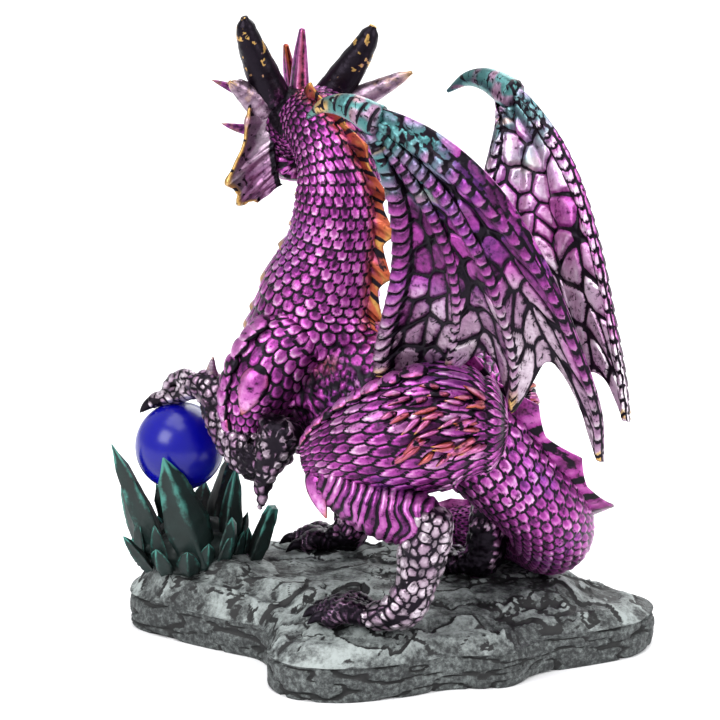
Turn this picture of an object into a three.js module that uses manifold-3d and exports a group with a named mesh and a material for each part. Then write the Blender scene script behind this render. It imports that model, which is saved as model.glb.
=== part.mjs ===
import * as THREE from 'three';
import { mergeVertices } from 'three/addons/utils/BufferGeometryUtils.js';
import Module from 'manifold-3d';

// A small painted resin figure: a horned dragon crouches on a slab of rock and rests one
// fore paw on a glass ball, which stands in a cluster of crystals.
// Millimetres, +Z up. The origin is the middle of the rock's flat underside. The head looks
// along -Y, and the body faces +X, turned 35 degrees towards -Y.
// The dragon is modelled in a frame of its own: +X forwards, +Y to its left, +Z up.

const wasm = await Module();
wasm.setup();

// Driving sizes
const GLUE_GAP = 0.3;          // clearance left where two pieces meet
const WELD = 2e-3;             // corners closer than this are one corner
const BODY_YAW = -35;          // degrees, the way the body faces, from +X
const PELVIS = [-20.3, 16, 2];  // where the frame of the body stands on the rock
const HEAD_AT = [53.5, -6.8, 109];
const HEAD_YAW = -48;          // degrees, the head turned against the body
const HEAD_PITCH = 6;          // degrees, snout down
const HEAD_ROLL = 5;           // degrees, leaning to its right
const ORB_RADIUS = 10;
const ROCK_LENGTH = 120;
const ROCK_DEPTH = 75;
const ROCK_WALL = 8.3;         // height of the rock's side wall
const ROCK_BEVEL = 1.2;        // and of the slant at its foot
const ROCK_TOP = 16;           // height of the rock where the feet stand
const ROCK_DIP = 2;            // and how much lower under the near hind foot
const ROCK_CRYSTAL_TOP = 19;   // and under the crystals
const CRYSTAL_SINK = 3;        // how deep the crystals are rooted in it
const ROCK_TAIL_TOP = 12.5;    // and at the end behind the tail
const ORB_AT = [46.3, -15.5, ROCK_CRYSTAL_TOP + 22.5];
const WING_THICKNESS = 1.7;
const FRILL_THICKNESS = 1.3;
const CREST_THICKNESS = 1.6;
const CLAW_LENGTH = 4.2;
const RIGHT_ARM_FORWARD = 5;   // its arm bows further forwards
const RIGHT_FINGER_FORWARD = 9; // and its last finger bows less
const RIGHT_TIP_LIFT = 10;     // and ends higher
const RIGHT_TIP_BACK = 3.4;    // and further back
const RIGHT_WING_TURN = -4.5;  // degrees, the far wing stands closer to the body than the near one

const colours = {
  dragon: { color: 0x9a2f9e, roughness: 0.34, metalness: 0.75 },
  wing: { color: 0x8f3a8c, roughness: 0.36, metalness: 0.7 },
  rock: { color: 0x767e7c, roughness: 0.8, metalness: 0 },
  crystal: { color: 0x2c5a52, roughness: 0.5, metalness: 0.1 },
  orb: { color: 0x1414c8, roughness: 0.05, metalness: 0 },
};

const vec = (p) => new THREE.Vector3(...p);
const radians = THREE.MathUtils.degToRad;
const blend = THREE.MathUtils.lerp;
const smooth = THREE.MathUtils.smoothstep;

// Catmull-Rom value at t (0 to 1) through evenly spaced rows of numbers, the ends run on straight
function along(rows, t) {
  const last = rows.length - 1;
  const at = Math.min(Math.max(t, 0), 1) * last;
  const i = Math.min(Math.floor(at), last - 1);
  const f = at - i;
  return rows[i].map((value, k) => {
    const next = rows[i + 1][k];
    const before = i > 0 ? rows[i - 1][k] : 2 * value - next;
    const after = i + 2 <= last ? rows[i + 2][k] : 2 * next - value;
    const rise = (next - before) / 2;
    const fall = (after - value) / 2;
    return value + f * (rise + f * (3 * (next - value) - 2 * rise - fall
      + f * (2 * (value - next) + rise + fall)));
  });
}

function solidOf(geometry) {
  const bare = geometry.clone();
  bare.deleteAttribute('normal');
  bare.deleteAttribute('uv');
  const merged = mergeVertices(bare, 1e-4);
  return new wasm.Manifold(new wasm.Mesh({
    numProp: 3,
    vertProperties: merged.attributes.position.array,
    triVerts: new Uint32Array(merged.index.array),
  }));
}

// Moves every vertex of a geometry to place(x, y, z), and returns the solid
function shaped(geometry, place) {
  const position = geometry.getAttribute('position');
  for (let i = 0; i < position.count; i += 1) {
    const p = place(position.getX(i), position.getY(i), position.getZ(i));
    position.setXYZ(i, p.x, p.y, p.z);
  }
  return solidOf(geometry);
}

const union = (solids) => solids.reduce((all, one) => all.add(one));

// Centre, half sizes, left and dorsal directions of a limb at t.
// A station is x, y, z, half width, half height and, where the limb turns, its dorsal direction.
function limbFrame(stations, t, dorsal) {
  const row = along(stations, t);
  const before = along(stations, Math.max(t - 0.01, 0));
  const after = along(stations, Math.min(t + 0.01, 1));
  const centre = vec(row.slice(0, 3));
  const tangent = vec(after.slice(0, 3)).sub(vec(before.slice(0, 3))).normalize();
  const up = vec(row.length > 5 ? row.slice(5, 8) : dorsal);
  up.addScaledVector(tangent, -up.dot(tangent)).normalize();
  const left = up.clone().cross(tangent);
  return { centre, tangent, up, left, width: row[3], height: row[4] };
}

// A rounded limb: a sphere's rings laid along the stations
function limb(stations, sides, steps, { dorsal = [0, 0, 1], grow = 0 } = {}) {
  return shaped(new THREE.SphereGeometry(1, sides, steps), (x, y, z) => {
    const ring = Math.round(Math.acos(THREE.MathUtils.clamp(y, -1, 1)) / Math.PI * steps);
    const end = ring === 0 || ring === steps;
    const t = THREE.MathUtils.clamp((ring - 1) / (steps - 2), 0, 1);
    const f = limbFrame(stations, t, dorsal);
    if (end) {
      const reach = 0.55 * Math.min(f.width, f.height) + grow;
      return f.centre.addScaledVector(f.tangent, ring === 0 ? -reach : reach);
    }
    const angle = Math.atan2(x, z);
    return f.centre
      .addScaledVector(f.up, Math.cos(angle) * (f.height + grow))
      .addScaledVector(f.left, Math.sin(angle) * (f.width + grow));
  });
}

function ball(at, radii, sides = 12, rings = 8) {
  return shaped(new THREE.SphereGeometry(1, sides, rings), (x, y, z) => (
    new THREE.Vector3(at[0] + x * radii[0], at[1] - z * radii[1], at[2] + y * radii[2])
  ));
}

// A horn, claw or spine: a limb that tapers from the radius at its root to a share of it
function horn(points, root, { sides = 7, steps = 7, flat = 1, tip = 0.12, dorsal = [0, 0, 1] } = {}) {
  const stations = points.map((p, i) => {
    const radius = root * (1 - (1 - tip) * (i / (points.length - 1)) ** 1.2);
    return [...p, radius * flat, radius];
  });
  return limb(stations, sides, steps, { dorsal });
}

// A curved sheet: columns and rows of points place(i, j), each with its own thickness
function sheet(place, across, down, thickness) {
  return shaped(new THREE.BoxGeometry(1, 1, 1, across, down, 1), (x, y, z) => {
    const i = Math.round((x + 0.5) * across);
    const j = Math.round((y + 0.5) * down);
    const alongRow = place(Math.min(i + 1, across), j).sub(place(Math.max(i - 1, 0), j));
    const alongColumn = place(i, Math.min(j + 1, down)).sub(place(i, Math.max(j - 1, 0)));
    const normal = alongRow.cross(alongColumn).normalize();
    return place(i, j).addScaledVector(normal, z * thickness(i, j));
  });
}

const mirrored = (stations) => stations.map(([x, y, z, ...rest]) => [x, -y, z, ...rest]);

// Turns and moves a solid from the dragon's or the head's own frame
function placed(solid, [x, y, z], yaw, pitch = 0, roll = 0) {
  return solid.rotate([roll, pitch, yaw]).translate([x, y, z]);
}

// Trunk: one line of stations from the tip of the tail, over the pelvis, into the chest
const TRUNK = [
  [50, -19, 16.2, 0.8, 0.8, 0, 0, 1],
  [40.5, -25.5, 17.2, 2.8, 2.8, 0, 0, 1],
  [25, -29.5, 18.6, 4.8, 4.8, 0, -0.1, 1],
  [9, -28.5, 20.4, 6.8, 6.8, -0.1, -0.4, 0.9],
  [-4, -21.5, 24, 9, 9, -0.6, -0.6, 0.5],
  [-8, -12, 33, 9.8, 9.8, -0.85, -0.4, 0.3],
  [-3.6, -4, 43, 11, 10.4, -0.75, -0.2, 0.6],
  [5, 0, 52, 13.4, 12.2, -0.3, 0, 0.95],
  [14, 0, 55, 13.8, 13.2, 0, 0, 1],
  [24, 0, 55.4, 13, 13.8, 0, 0, 1],
  [34, 0, 56.4, 13.2, 15, 0, 0, 1],
  [43, 0, 57, 12.6, 14.6, 0, 0, 1],
  [50, 0, 57, 9.5, 12, 0, 0, 1],
];
// Neck: from inside the chest to the nape, its dorsal side facing back
const NECK = [
  [47, 0, 50, 12, 12.5, -1, 0, 0],
  [45.4, 0, 60, 13.4, 16.4, -1, 0, 0],
  [43.8, 0, 68, 13.6, 16, -1, 0, 0.1],
  [42.6, 0, 76, 12.4, 13.8, -1, 0, 0.2],
  [39, 0, 87, 10.4, 11, -1, 0, 0.1],
  [37.6, 0, 98, 9.4, 9.8, -1, 0, 0],
  [39, -1.2, 106, 8.8, 9, -0.9, 0.4, 0.1],
  [44, -4, 111.5, 8.4, 8.4, -0.6, 0.6, 0.5],
  [50.5, -7.6, 113.4, 8, 7.4, -0.4, 0.6, 0.7],
];
const CHEST = { at: [47.5, 0, 57], radii: [16.2, 13.8, 17] };

// The crest stands in two lengths, along the tail and back, and up the neck
const TAIL_CREST = { from: 0.12, to: 0.82, spines: 9 };
const NECK_CREST = { from: 0.3, to: 0.97, spines: 8 };
const CREST_LOW = 1.6;
const tailCrestHeight = (t) => (
  CREST_LOW + 3.2 * smooth(t, 0.14, 0.42) * (1 - smooth(t, 0.59, 0.73))
);
const neckCrestHeight = (t) => (
  CREST_LOW + 3.4 * smooth(t, 0.25, 0.5) * (1 - 0.35 * smooth(t, 0.8, 1))
);

// A web whose edge rises to a spine and falls between, the spines swept back
function crest(stations, { from, to, spines }, height) {
  const columns = 2 * spines;
  return sheet((i, j) => {
    const t = blend(from, to, i / columns);
    const f = limbFrame(stations, t);
    const reach = height(t) * (i % 2 === 1 ? 1 : 0.35);
    const at = f.centre.addScaledVector(f.up, f.height + (j === 0 ? -2 : reach));
    return at.addScaledVector(f.tangent, j === 0 || i % 2 === 0 ? 0 : -0.5 * reach);
  }, columns, 1, (i, j) => CREST_THICKNESS * (j === 0 ? 1.4 : 0.5));
}

// Scutes down the throat and chest: a limb whose size steps out at the lip of each plate
const SCUTES = 9;
const SCUTE_FROM = 0.1;
const SCUTE_TO = 0.88;

function scutes() {
  const steps = [];
  for (let i = 0; i <= 2 * SCUTES; i += 1) {
    const t = blend(SCUTE_FROM, SCUTE_TO, i / (2 * SCUTES));
    const f = limbFrame(NECK, t);
    const lip = i % 2 === 1 ? 1 : 0.9;
    const middle = f.centre.addScaledVector(f.up, -0.28 * f.height);
    steps.push([...middle.toArray(), 0.74 * f.width * lip, 0.79 * f.height * lip, ...f.up.toArray()]);
  }
  return limb(steps, 7, 2 * SCUTES + 2);
}

// Legs, each a chain of stations on the dragon's left
const LEFT_THIGH = [
  [-5, 7, 56, 9, 10.5],
  [2, 12, 56, 11.5, 14],
  [13, 17, 52, 10.5, 12.5],
  [23, 19.5, 48, 8, 9],
  [29, 20.5, 45, 5, 5.5],
];
const LEFT_SHANK = [
  [29, 20.5, 44.6, 3.4, 3.6],
  [22, 21.2, 42, 5.8, 6],
  [12, 20.8, 38, 6.4, 6.6],
  [2, 19.6, 36.5, 5.2, 5.8],
];
const LEFT_INSTEP = [
  [0, 19.6, 38, 4.6, 5],
  [1.6, 19.6, 32, 5.4, 5.8],
  [3.4, 19.8, 24, 4.8, 4.8],
  [6, 20.8, 17, 5, 4.4],
  [12.5, 22, 13.8, 5.6, 3],
];
const RIGHT_THIGH = [[2, -7, 54, 7.5, 9], [6, -12, 53, 9, 11.5], ...mirrored(LEFT_THIGH).slice(2)];
const RIGHT_SHANK = [
  [30, -20.5, 44, 3.6, 4],
  [24, -20.5, 41, 6.2, 6.4],
  [16, -19.5, 38, 6, 6.4],
  [8, -18.5, 36.5, 5, 5.6],
];
const RIGHT_INSTEP = [
  [6.5, -18.5, 38, 4.4, 4.8],
  [8, -18, 32, 5, 5.4],
  [8.5, -16, 25, 4.6, 4.6],
  [9, -14.5, 18.5, 4.8, 4.4],
  [12, -13.2, 15.8, 5, 3],
];
const LEFT_UPPER_ARM = [
  [42, 9, 68, 8, 8],
  [47, 12.5, 62, 8.6, 9],
  [51, 14.2, 53, 6.8, 7],
  [51.5, 15, 45, 3.4, 3.6],
];
const LEFT_FOREARM = [
  [42.5, 15.5, 45.5, 4.4, 4.6],
  [49, 16, 42.5, 4.9, 5.8],
  [55.5, 15.6, 48, 4.6, 5.6],
  [61.5, 15, 55, 4, 4],
  [65.5, 14.4, 55.6, 4, 2.8],
];
const LEFT_ELBOW_SPUR = [[41, 17, 50], [44.5, 18, 40.5], [47, 16.8, 30.8]];
const RIGHT_UPPER_ARM = [
  [42, -9, 66, 8, 8],
  [42, -13, 58, 8, 8.4],
  [39, -15.5, 48, 6, 6.4],
  [37, -16, 41, 4.4, 4.6],
];
const RIGHT_FOREARM = [
  [36, -16, 42, 4.2, 4.4],
  [40, -15.5, 34, 5, 5.2],
  [43.5, -14, 25, 4.2, 4.4],
  [43.5, -12.6, 18.5, 4.2, 4],
  [46.5, -11, 15.8, 4.8, 2.8],
];

// One toe and its claw in a line, from a knuckle on the foot to the ground
function toe(from, to, radius) {
  const start = vec(from);
  const end = vec(to);
  const ahead = end.clone().sub(start).normalize();
  const point = (reach, lift) => end.clone().addScaledVector(ahead, reach)
    .add(new THREE.Vector3(0, 0, lift)).toArray();
  const arch = start.clone().lerp(end, 0.55).add(new THREE.Vector3(0, 0, 0.55 * radius));
  return limb([
    [...from, radius, radius],
    [...arch.toArray(), radius * 1.05, radius * 1.05],
    [...point(0, 0), radius * 0.95, radius * 0.9],
    [...point(0.25 * CLAW_LENGTH, 0.2), radius * 0.62, radius * 0.66],
    [...point(CLAW_LENGTH, -0.9), radius * 0.12, radius * 0.12],
  ], 5, 6);
}

// Toes fan out from the ball of a foot: its centre, the way it points, the toes' reach, spread,
// radius and number, and how far the rock dips below them
function foot(centre, heading, reach, spread, radius, dip, count = 4) {
  const toes = [];
  for (let i = 0; i < count; i += 1) {
    const share = i / (count - 1) - 0.5;
    const angle = radians(heading + spread * share * 2);
    const inner = radians(heading + spread * share * 2.6);
    const length = reach * (1 - 0.5 * share * share);
    const from = [centre[0] + 2.4 * Math.cos(inner), centre[1] + 2.6 * Math.sin(inner), centre[2]];
    const to = [
      centre[0] + length * Math.cos(angle),
      centre[1] + length * Math.sin(angle),
      ROCK_TOP - PELVIS[2] + dip + radius * 0.75,
    ];
    toes.push(toe(from, to, radius));
  }
  return union(toes);
}

const KNUCKLE = [66, 14.4, 54.4];
const WRIST_SPUR = [[61.5, 14.6, 57], [61.6, 14.8, 59.4], [61, 15, 62.6]];
// Each finger's place on the ball in degrees, round it and up from its equator, and how far the
// finger arches off the ball behind its claw
const FINGERS = [[-22, 62, 0], [20, 66, 3.4], [52, 62, 2.2]];

// The paw on the ball: fingers lie over the ball, and the spur of the wrist stands up
function paw() {
  const orb = vec(ORB_IN_BODY);
  const fingers = FINGERS.map(([side, lift, rise]) => {
    const reach = ORB_RADIUS + 1.7;
    const angle = radians(side);
    const point = (climb) => orb.clone().add(new THREE.Vector3(
      reach * Math.cos(radians(climb)) * Math.cos(angle),
      -reach * Math.cos(radians(climb)) * Math.sin(angle),
      reach * Math.sin(radians(climb)),
    )).toArray();
    const arch = vec(KNUCKLE).lerp(vec(point(lift + 22)), 0.6).add(new THREE.Vector3(0, 0, rise));
    const bend = vec(point(lift + 12)).add(new THREE.Vector3(0, 0, 0.8 * rise));
    return limb([
      [...KNUCKLE, 2.2, 2.2],
      [...arch.toArray(), 2.2, 2.1],
      [...bend.toArray(), 2, 1.9],
      [...point(lift - 4), 1.7, 1.7],
      [...point(lift - 10), 1.1, 1.3],
      [...point(lift - 24), 0.3, 0.3],
    ], 5, 7);
  });
  const spur = horn(WRIST_SPUR, 2, { sides: 5, steps: 4 });
  return union([...fingers, spur]);
}

const yaw = radians(BODY_YAW);
const overRock = [ORB_AT[0] - PELVIS[0], ORB_AT[1] - PELVIS[1]];
const ORB_IN_BODY = [
  overRock[0] * Math.cos(yaw) + overRock[1] * Math.sin(yaw),
  -overRock[0] * Math.sin(yaw) + overRock[1] * Math.cos(yaw),
  ORB_AT[2] - PELVIS[2],
];

// Head, in a frame of its own: +X to the snout, +Y to its left, origin where the skull meets the nape
const SKULL = [
  [-5, 0, 2, 5, 5.5],
  [0, 0, 2.4, 8, 8.6],
  [7, 0, 2.2, 8.8, 8.2],
  [13, 0, 1, 7.6, 6.6],
  [19, 0, -1, 5.6, 4.9],
  [25, 0, -2.4, 4.8, 4],
  [30, 0, -3, 4, 3.4],
];
const JAW = [
  [0, 0, -5.5, 5.6, 4.4],
  [8, 0, -7.6, 5.2, 3],
  [16, 0, -8.2, 4.4, 2.2],
  [23, 0, -8, 3.6, 1.9],
  [27.5, 0, -7.4, 2.4, 1.5],
];
// One frill's outline, from the top of the cheek round to under the jaw: root and rim
const FRILL_ROOT = [[-1, 4.4, 9], [-1.8, 5.2, 4], [-2.2, 5.2, -2], [-2.2, 4.4, -7], [-1.4, 3.4, -11]];
const FRILL_COLUMNS = 8;
const FRILL_ROWS = 2;
const FRILL_HOLLOW = 2;
const FRILL_RIM = [[-3, 14.2, 12], [-3.6, 12, 3], [-5.4, 15.6, -10.6], [-3, 12.4, -15.6], [0, 8, -15]];
// The two horns of each side. The lower one runs out from the top of the frill, and the left one
// of that pair is shorter.
const MAIN_HORN = [[1, 6, 8], [-1.6, 10, 15.5], [-3.5, 12.8, 21.2], [-5, 14.2, 25.8]];
const LOWER_HORN_LEFT = [[1, 8, 6], [-1.6, 12.4, 9], [-4.5, 16.4, 11.4]];
const LOWER_HORN_RIGHT = [[1, -8, 6], [-2, -15.6, 11.2], [-5.4, -23.4, 16.2]];

function side(sign) {
  const flip = (points) => points.map(([x, y, z]) => [x, y * sign, z]);
  const rim = flip(FRILL_RIM);
  const root = flip(FRILL_ROOT);
  const frill = sheet((i, j) => {
    const round = sign > 0 ? i / FRILL_COLUMNS : 1 - i / FRILL_COLUMNS;
    const outwards = j / FRILL_ROWS;
    const at = vec(along(root, round)).lerp(vec(along(rim, round)), outwards);
    at.x += FRILL_HOLLOW * Math.sin(Math.PI * outwards);
    return at;
  }, FRILL_COLUMNS, FRILL_ROWS, (i, j) => FRILL_THICKNESS * (j === FRILL_ROWS ? 0.6 : 1));
  return union([
    frill,
    horn(flip(MAIN_HORN), 4.2, { sides: 7, steps: 6, flat: 0.95, tip: 0.4 }),
    horn(sign > 0 ? LOWER_HORN_LEFT : LOWER_HORN_RIGHT, 3.6, { sides: 6, steps: 4, tip: 0.25 }),
    horn(flip([[5, 8, 7], [4.4, 15, 9.5], [4, 19.6, 11]]), 1.6, { sides: 5, steps: 3 }),
    horn(flip([[6, 7.6, 0], [5.8, 12.8, 0.6], [5.2, 16.6, 1.4]]), 1.6, { sides: 5, steps: 3 }),
    horn(flip([[8, 5.6, 6], [4, 7.4, 10], [1, 8.2, 13]]), 2, { sides: 5, steps: 4 }),
    ball([13.4, 6 * sign, 3.6], [2.6, 1.9, 2.1], 6, 4),
    limb(flip([[7, 6.4, 5.6], [12, 7.4, 6.8], [18, 4.6, 4.6]]).map((p, i) => (
      [...p, [1.8, 2, 1.2][i], [1.4, 1.6, 1][i]]
    )), 6, 4),
  ]);
}

function head() {
  const ridge = [];
  for (let i = 0; i < 3; i += 1) {
    const x = 2 + 5 * i;
    const top = 10.4 - 1.9 * i;
    const reach = [13, 11, 4.6][i];
    const lean = [0.8, 3.6, 0][i];
    const points = [[x, 0, top - 2], [x - 0.6, 0.6 * lean, top + 0.5 * reach], [x - 2.4, lean, top + reach]];
    ridge.push(horn(points, 3.2 - 0.4 * i, { sides: 5, steps: 4, flat: 0.7, tip: 0.3, dorsal: [1, 0, 0] }));
  }
  return union([limb(SKULL, 9, 7), limb(JAW, 6, 5), side(1), side(-1), ...ridge]);
}

// Wings: four curves leave the wrist, the arm down to the shoulder and three fingers to their tips
const WING_ARM = [
  [16, 25, 124], [10.2, 24, 116.8], [7.9, 21.2, 107.5], [8.1, 18.6, 98.5],
  [10.3, 15.8, 89], [14.2, 13, 79.4], [18, 10.2, 70.8], [19, 8.4, 64],
];
const WING_CLAW = [[10.5, 25, 122.8], [17, 25.4, 125], [23, 25.6, 124.6], [28, 25, 121.4]];
const WING_FINGERS = [
  [[15.4, 25, 123.8], [6.5, 23.8, 115.2], [1, 22.2, 107.6], [-2, 20.4, 101], [-3.9, 18.2, 93.5],
    [-3.9, 15.8, 84.9], [-2.1, 13.4, 76.6], [2, 11, 67]],
  [[15.4, 25, 124], [4.8, 24.6, 117.2], [-4.6, 23.2, 108.9], [-9.6, 21.4, 101], [-13.3, 19.4, 93.3],
    [-15.6, 16.8, 83.6], [-17, 14.4, 74], [-15.3, 12, 61.6]],
  [[15.8, 25, 124.6], [3.6, 24.8, 120.2], [-9.4, 23, 112.4], [-19.4, 20.2, 102.6], [-26.8, 16.4, 90.8],
    [-31, 12.6, 77.4], [-33.2, 8.4, 64.4], [-32, 5, 52.7]],
];
const WING_CURVES = [WING_ARM, ...WING_FINGERS];
const LEFT_SCALLOPS = [0.02, 0.12, 0.2];
const RIGHT_SCALLOPS = [0.02, 0.1, 0.05];
const WING_SAG = 1.6;

// The wing is a sheet whose columns run from the wrist to the edge. Each curve has three columns,
// its two flanks and its crown, and one more lies half way to the next curve.
const WING_ROWS = 8;
const WING_WRIST_ROW = 0.07;
const WING_FLANGE = 3.2;       // how far the near wing's skin goes on past the last finger
const BONE_RADII = [[2.7, 3.6], [1.9, 1.2], [2, 1.2], [2.4, 1.5]];
const WING_COLUMNS = 4 * WING_CURVES.length - 2;

function wingColumn(i) {
  return { curve: Math.floor(i / 4), part: i % 4 - 1 };
}

function boneRadius(curve, t) {
  return blend(...BONE_RADII[curve], t);
}

function wingPoint(i, j, flange, scallops) {
  const t = blend(WING_WRIST_ROW, 1, j / WING_ROWS);
  const { curve, part } = wingColumn(i);
  const neighbour = Math.min(curve + 1, WING_CURVES.length - 1);
  const own = vec(along(WING_CURVES[curve], t));
  if (part === 2) {
    const reach = t * (1 - scallops[curve]);
    const from = vec(along(WING_CURVES[curve], reach));
    const to = vec(along(WING_CURVES[neighbour], reach));
    const middle = from.lerp(to, 0.5);
    middle.y -= WING_SAG * Math.sin(Math.PI * Math.min(t, 0.8));
    return middle;
  }
  const towards = part < 0 ? curve - 1 : curve + 1;
  const beyond = towards < 0 || towards >= WING_CURVES.length;
  const other = vec(along(WING_CURVES[beyond ? (part < 0 ? 1 : curve - 1) : towards], t));
  const across = beyond ? own.clone().sub(other) : other.clone().sub(own);
  const past = curve > 0 && beyond ? flange * smooth(t, 0, 0.24) * (1 - smooth(t, 0.3, 0.62)) : 0;
  const room = beyond ? Infinity : 0.36 * across.length();
  const reach = Math.min(boneRadius(curve, t), room) + past;
  return own.addScaledVector(across.normalize(), Math.abs(part) * reach);
}

function wingThickness(i, j) {
  const t = blend(WING_WRIST_ROW, 1, j / WING_ROWS);
  const { curve, part } = wingColumn(i);
  if (part === 2) return WING_THICKNESS;
  const outer = (curve === 0 && part < 0) || (curve === WING_CURVES.length - 1 && part > 0);
  const crown = 2 * boneRadius(curve, t);
  return part === 0 ? crown : (outer ? 0.45 * crown : Math.max(WING_THICKNESS, 0.4 * crown));
}

function wing(sign) {
  const flip = (points) => points.map(([x, y, z]) => [x, y * sign, z]);
  const leftFirst = (i) => (sign > 0 ? i : WING_COLUMNS - i);
  const skin = sheet((i, j) => {
    const near = sign > 0;
    const at = wingPoint(leftFirst(i), j, near ? WING_FLANGE : 0, near ? LEFT_SCALLOPS : RIGHT_SCALLOPS);
    at.y *= sign;
    if (near) return at;
    const share = leftFirst(i) / WING_COLUMNS;
    const t = j / WING_ROWS;
    at.z += RIGHT_TIP_LIFT * share * t * t;
    at.x -= RIGHT_TIP_BACK * share * t * t;
    at.x += blend(RIGHT_ARM_FORWARD, RIGHT_FINGER_FORWARD, share) * Math.sin(Math.PI * t);
    return at;
  }, WING_COLUMNS, WING_ROWS, (i, j) => wingThickness(leftFirst(i), j));
  const claw = horn(flip(WING_CLAW), 3.5, { sides: 7, steps: 6 });
  return union([skin, claw]);
}

// The rock: an outline that runs round the foot of the slab, and a top that climbs from its wall
// in shares of its length and depth
const ROCK_OUTLINE = [
  [0.487, -0.24], [0.475, -0.147], [0.408, -0.047], [0.308, 0.067], [0.242, 0.14],
  [0.217, 0.24], [0.217, 0.379], [0.167, 0.483], [0.075, 0.507], [-0.025, 0.467],
  [-0.108, 0.4], [-0.217, 0.379], [-0.283, 0.26], [-0.383, 0.18], [-0.467, 0.093],
  [-0.5, -0.053], [-0.467, -0.16], [-0.383, -0.213], [-0.308, -0.273], [-0.225, -0.373],
  [-0.117, -0.46], [0.017, -0.493], [0.15, -0.493], [0.283, -0.487], [0.392, -0.453],
  [0.467, -0.36],
].map(([x, y]) => [x * ROCK_LENGTH, y * ROCK_DEPTH, 0]);
const ROCK_RINGS = 8;

function rockHeight(x, y, share) {
  const plateau = x > 0
    ? blend(ROCK_TOP, ROCK_CRYSTAL_TOP, smooth(x, 0.2 * ROCK_LENGTH, 0.333 * ROCK_LENGTH))
    : blend(ROCK_TAIL_TOP, ROCK_TOP, smooth(x, -0.467 * ROCK_LENGTH, -0.283 * ROCK_LENGTH));
  const dip = ROCK_DIP * smooth(y, 0.053 * ROCK_DEPTH, 0.267 * ROCK_DEPTH);
  const ledge = smooth(1 - share, 0, 0.12) * 0.55 + smooth(1 - share, 0.16, 0.34) * 0.45;
  return blend(ROCK_WALL, plateau - dip, ledge);
}

function rock() {
  const outline = new THREE.CatmullRomCurve3(ROCK_OUTLINE.map(vec), true, 'catmullrom', 0.5);
  const sides = 42;
  return shaped(new THREE.SphereGeometry(1, sides, ROCK_RINGS), (x, y, z) => {
    const ring = Math.round(Math.acos(THREE.MathUtils.clamp(y, -1, 1)) / Math.PI * ROCK_RINGS);
    const turn = (Math.atan2(-z, x) / (2 * Math.PI) + 1) % 1;
    const edge = outline.getPoint(ring === 0 || ring === ROCK_RINGS ? 0 : turn);
    const layers = ROCK_RINGS - 3;
    if (ring === ROCK_RINGS) return new THREE.Vector3(0, 0, 0);
    if (ring === ROCK_RINGS - 1) return edge.multiplyScalar(0.985);
    if (ring === ROCK_RINGS - 2) return edge.setZ(ROCK_BEVEL);
    const share = ring / layers;
    const bevel = ring === layers ? 0.985 : 1;
    const at = edge.multiplyScalar(share * bevel);
    return at.setZ(rockHeight(at.x, at.y, share));
  });
}

// Crystals: four-sided blades with a pointed end, rooted in the rock round the ball that they
// cradle. Roots, tips and widths are in ball radii, from the middle of the ball.
const CRYSTALS = [
  { root: [-0.53, 0.85], tip: [0.31, 1.15, 0.07], width: 1.05 },
  { root: [0.37, 0.45], tip: [1.51, 0.2, 0.11], width: 0.95 },
  { root: [0.77, 0.05], tip: [1.32, -0.2, -0.8], width: 0.8 },
  { root: [-1.03, 0.25], tip: [-1.27, 0.29, -0.4], width: 0.9 },
  { root: [-1.03, 0.75], tip: [-1.19, 1, -1.35], width: 0.6 },
  { root: [-1.63, 0.45], tip: [-2.09, 0.59, -1.25], width: 0.7, blunt: true },
  { root: [0.67, 0.75], tip: [1.23, 1.11, -1.75], width: 0.5 },
  { root: [-0.73, -0.55], tip: [-1.17, -1, -0.35], width: 0.85 },
  { root: [0.07, -0.75], tip: [0.37, -1.35, -0.15], width: 0.95 },
  { root: [0.67, -0.45], tip: [1.42, -0.95, -0.5], width: 0.85 },
  { root: [-0.33, -0.95], tip: [-0.48, -1.55, -1.25], width: 0.6 },
];
const CRYSTAL_ROOT = ROCK_CRYSTAL_TOP - CRYSTAL_SINK;
const CLUSTER_CORE = {
  at: [ORB_AT[0] - 0.28 * ORB_RADIUS, ORB_AT[1] + 0.1 * ORB_RADIUS, ROCK_CRYSTAL_TOP + 0.1 * ORB_RADIUS],
  radii: [1.5 * ORB_RADIUS, 1.15 * ORB_RADIUS, 0.85 * ORB_RADIUS],
};
const byBall = (share) => share.map((value, k) => ORB_AT[k] + value * ORB_RADIUS);

function crystal({ root, tip, width, blunt = false }) {
  const start = vec([...byBall(root), CRYSTAL_ROOT]);
  const broadest = width * ORB_RADIUS;
  const axis = vec(byBall(tip)).sub(start);
  const length = axis.length();
  axis.normalize();
  const outward = start.clone().sub(vec(CLUSTER_CORE.at)).setZ(0).normalize();
  const broad = outward.clone().cross(axis).normalize();
  const thick = axis.clone().cross(broad);
  const profile = [
    new THREE.Vector2(0, 0),
    new THREE.Vector2(0.4 * broadest, 0),
    new THREE.Vector2(0.5 * broadest, 0.42 * length),
    new THREE.Vector2((blunt ? 0.42 : 0.3) * broadest, 0.8 * length),
    new THREE.Vector2(blunt ? 0.3 * broadest : 0.05 * broadest, length),
    new THREE.Vector2(0, length),
  ];
  return shaped(new THREE.LatheGeometry(profile, 4), (x, y, z) => (
    start.clone().addScaledVector(axis, y).addScaledVector(broad, x).addScaledVector(thick, -z * 0.62)
  ));
}

// Puts the pieces together, and cuts each by what it rests on
const onRock = (solid) => placed(solid, PELVIS, BODY_YAW);
const rockSolid = rock();
const orbRound = (radius) => ball(ORB_AT, [radius, radius, radius], 16, 10);
const orbSolid = orbRound(ORB_RADIUS);
const orbSeat = orbRound(ORB_RADIUS + GLUE_GAP);
const rockLifted = rockSolid.translate([0, 0, GLUE_GAP]);

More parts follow.
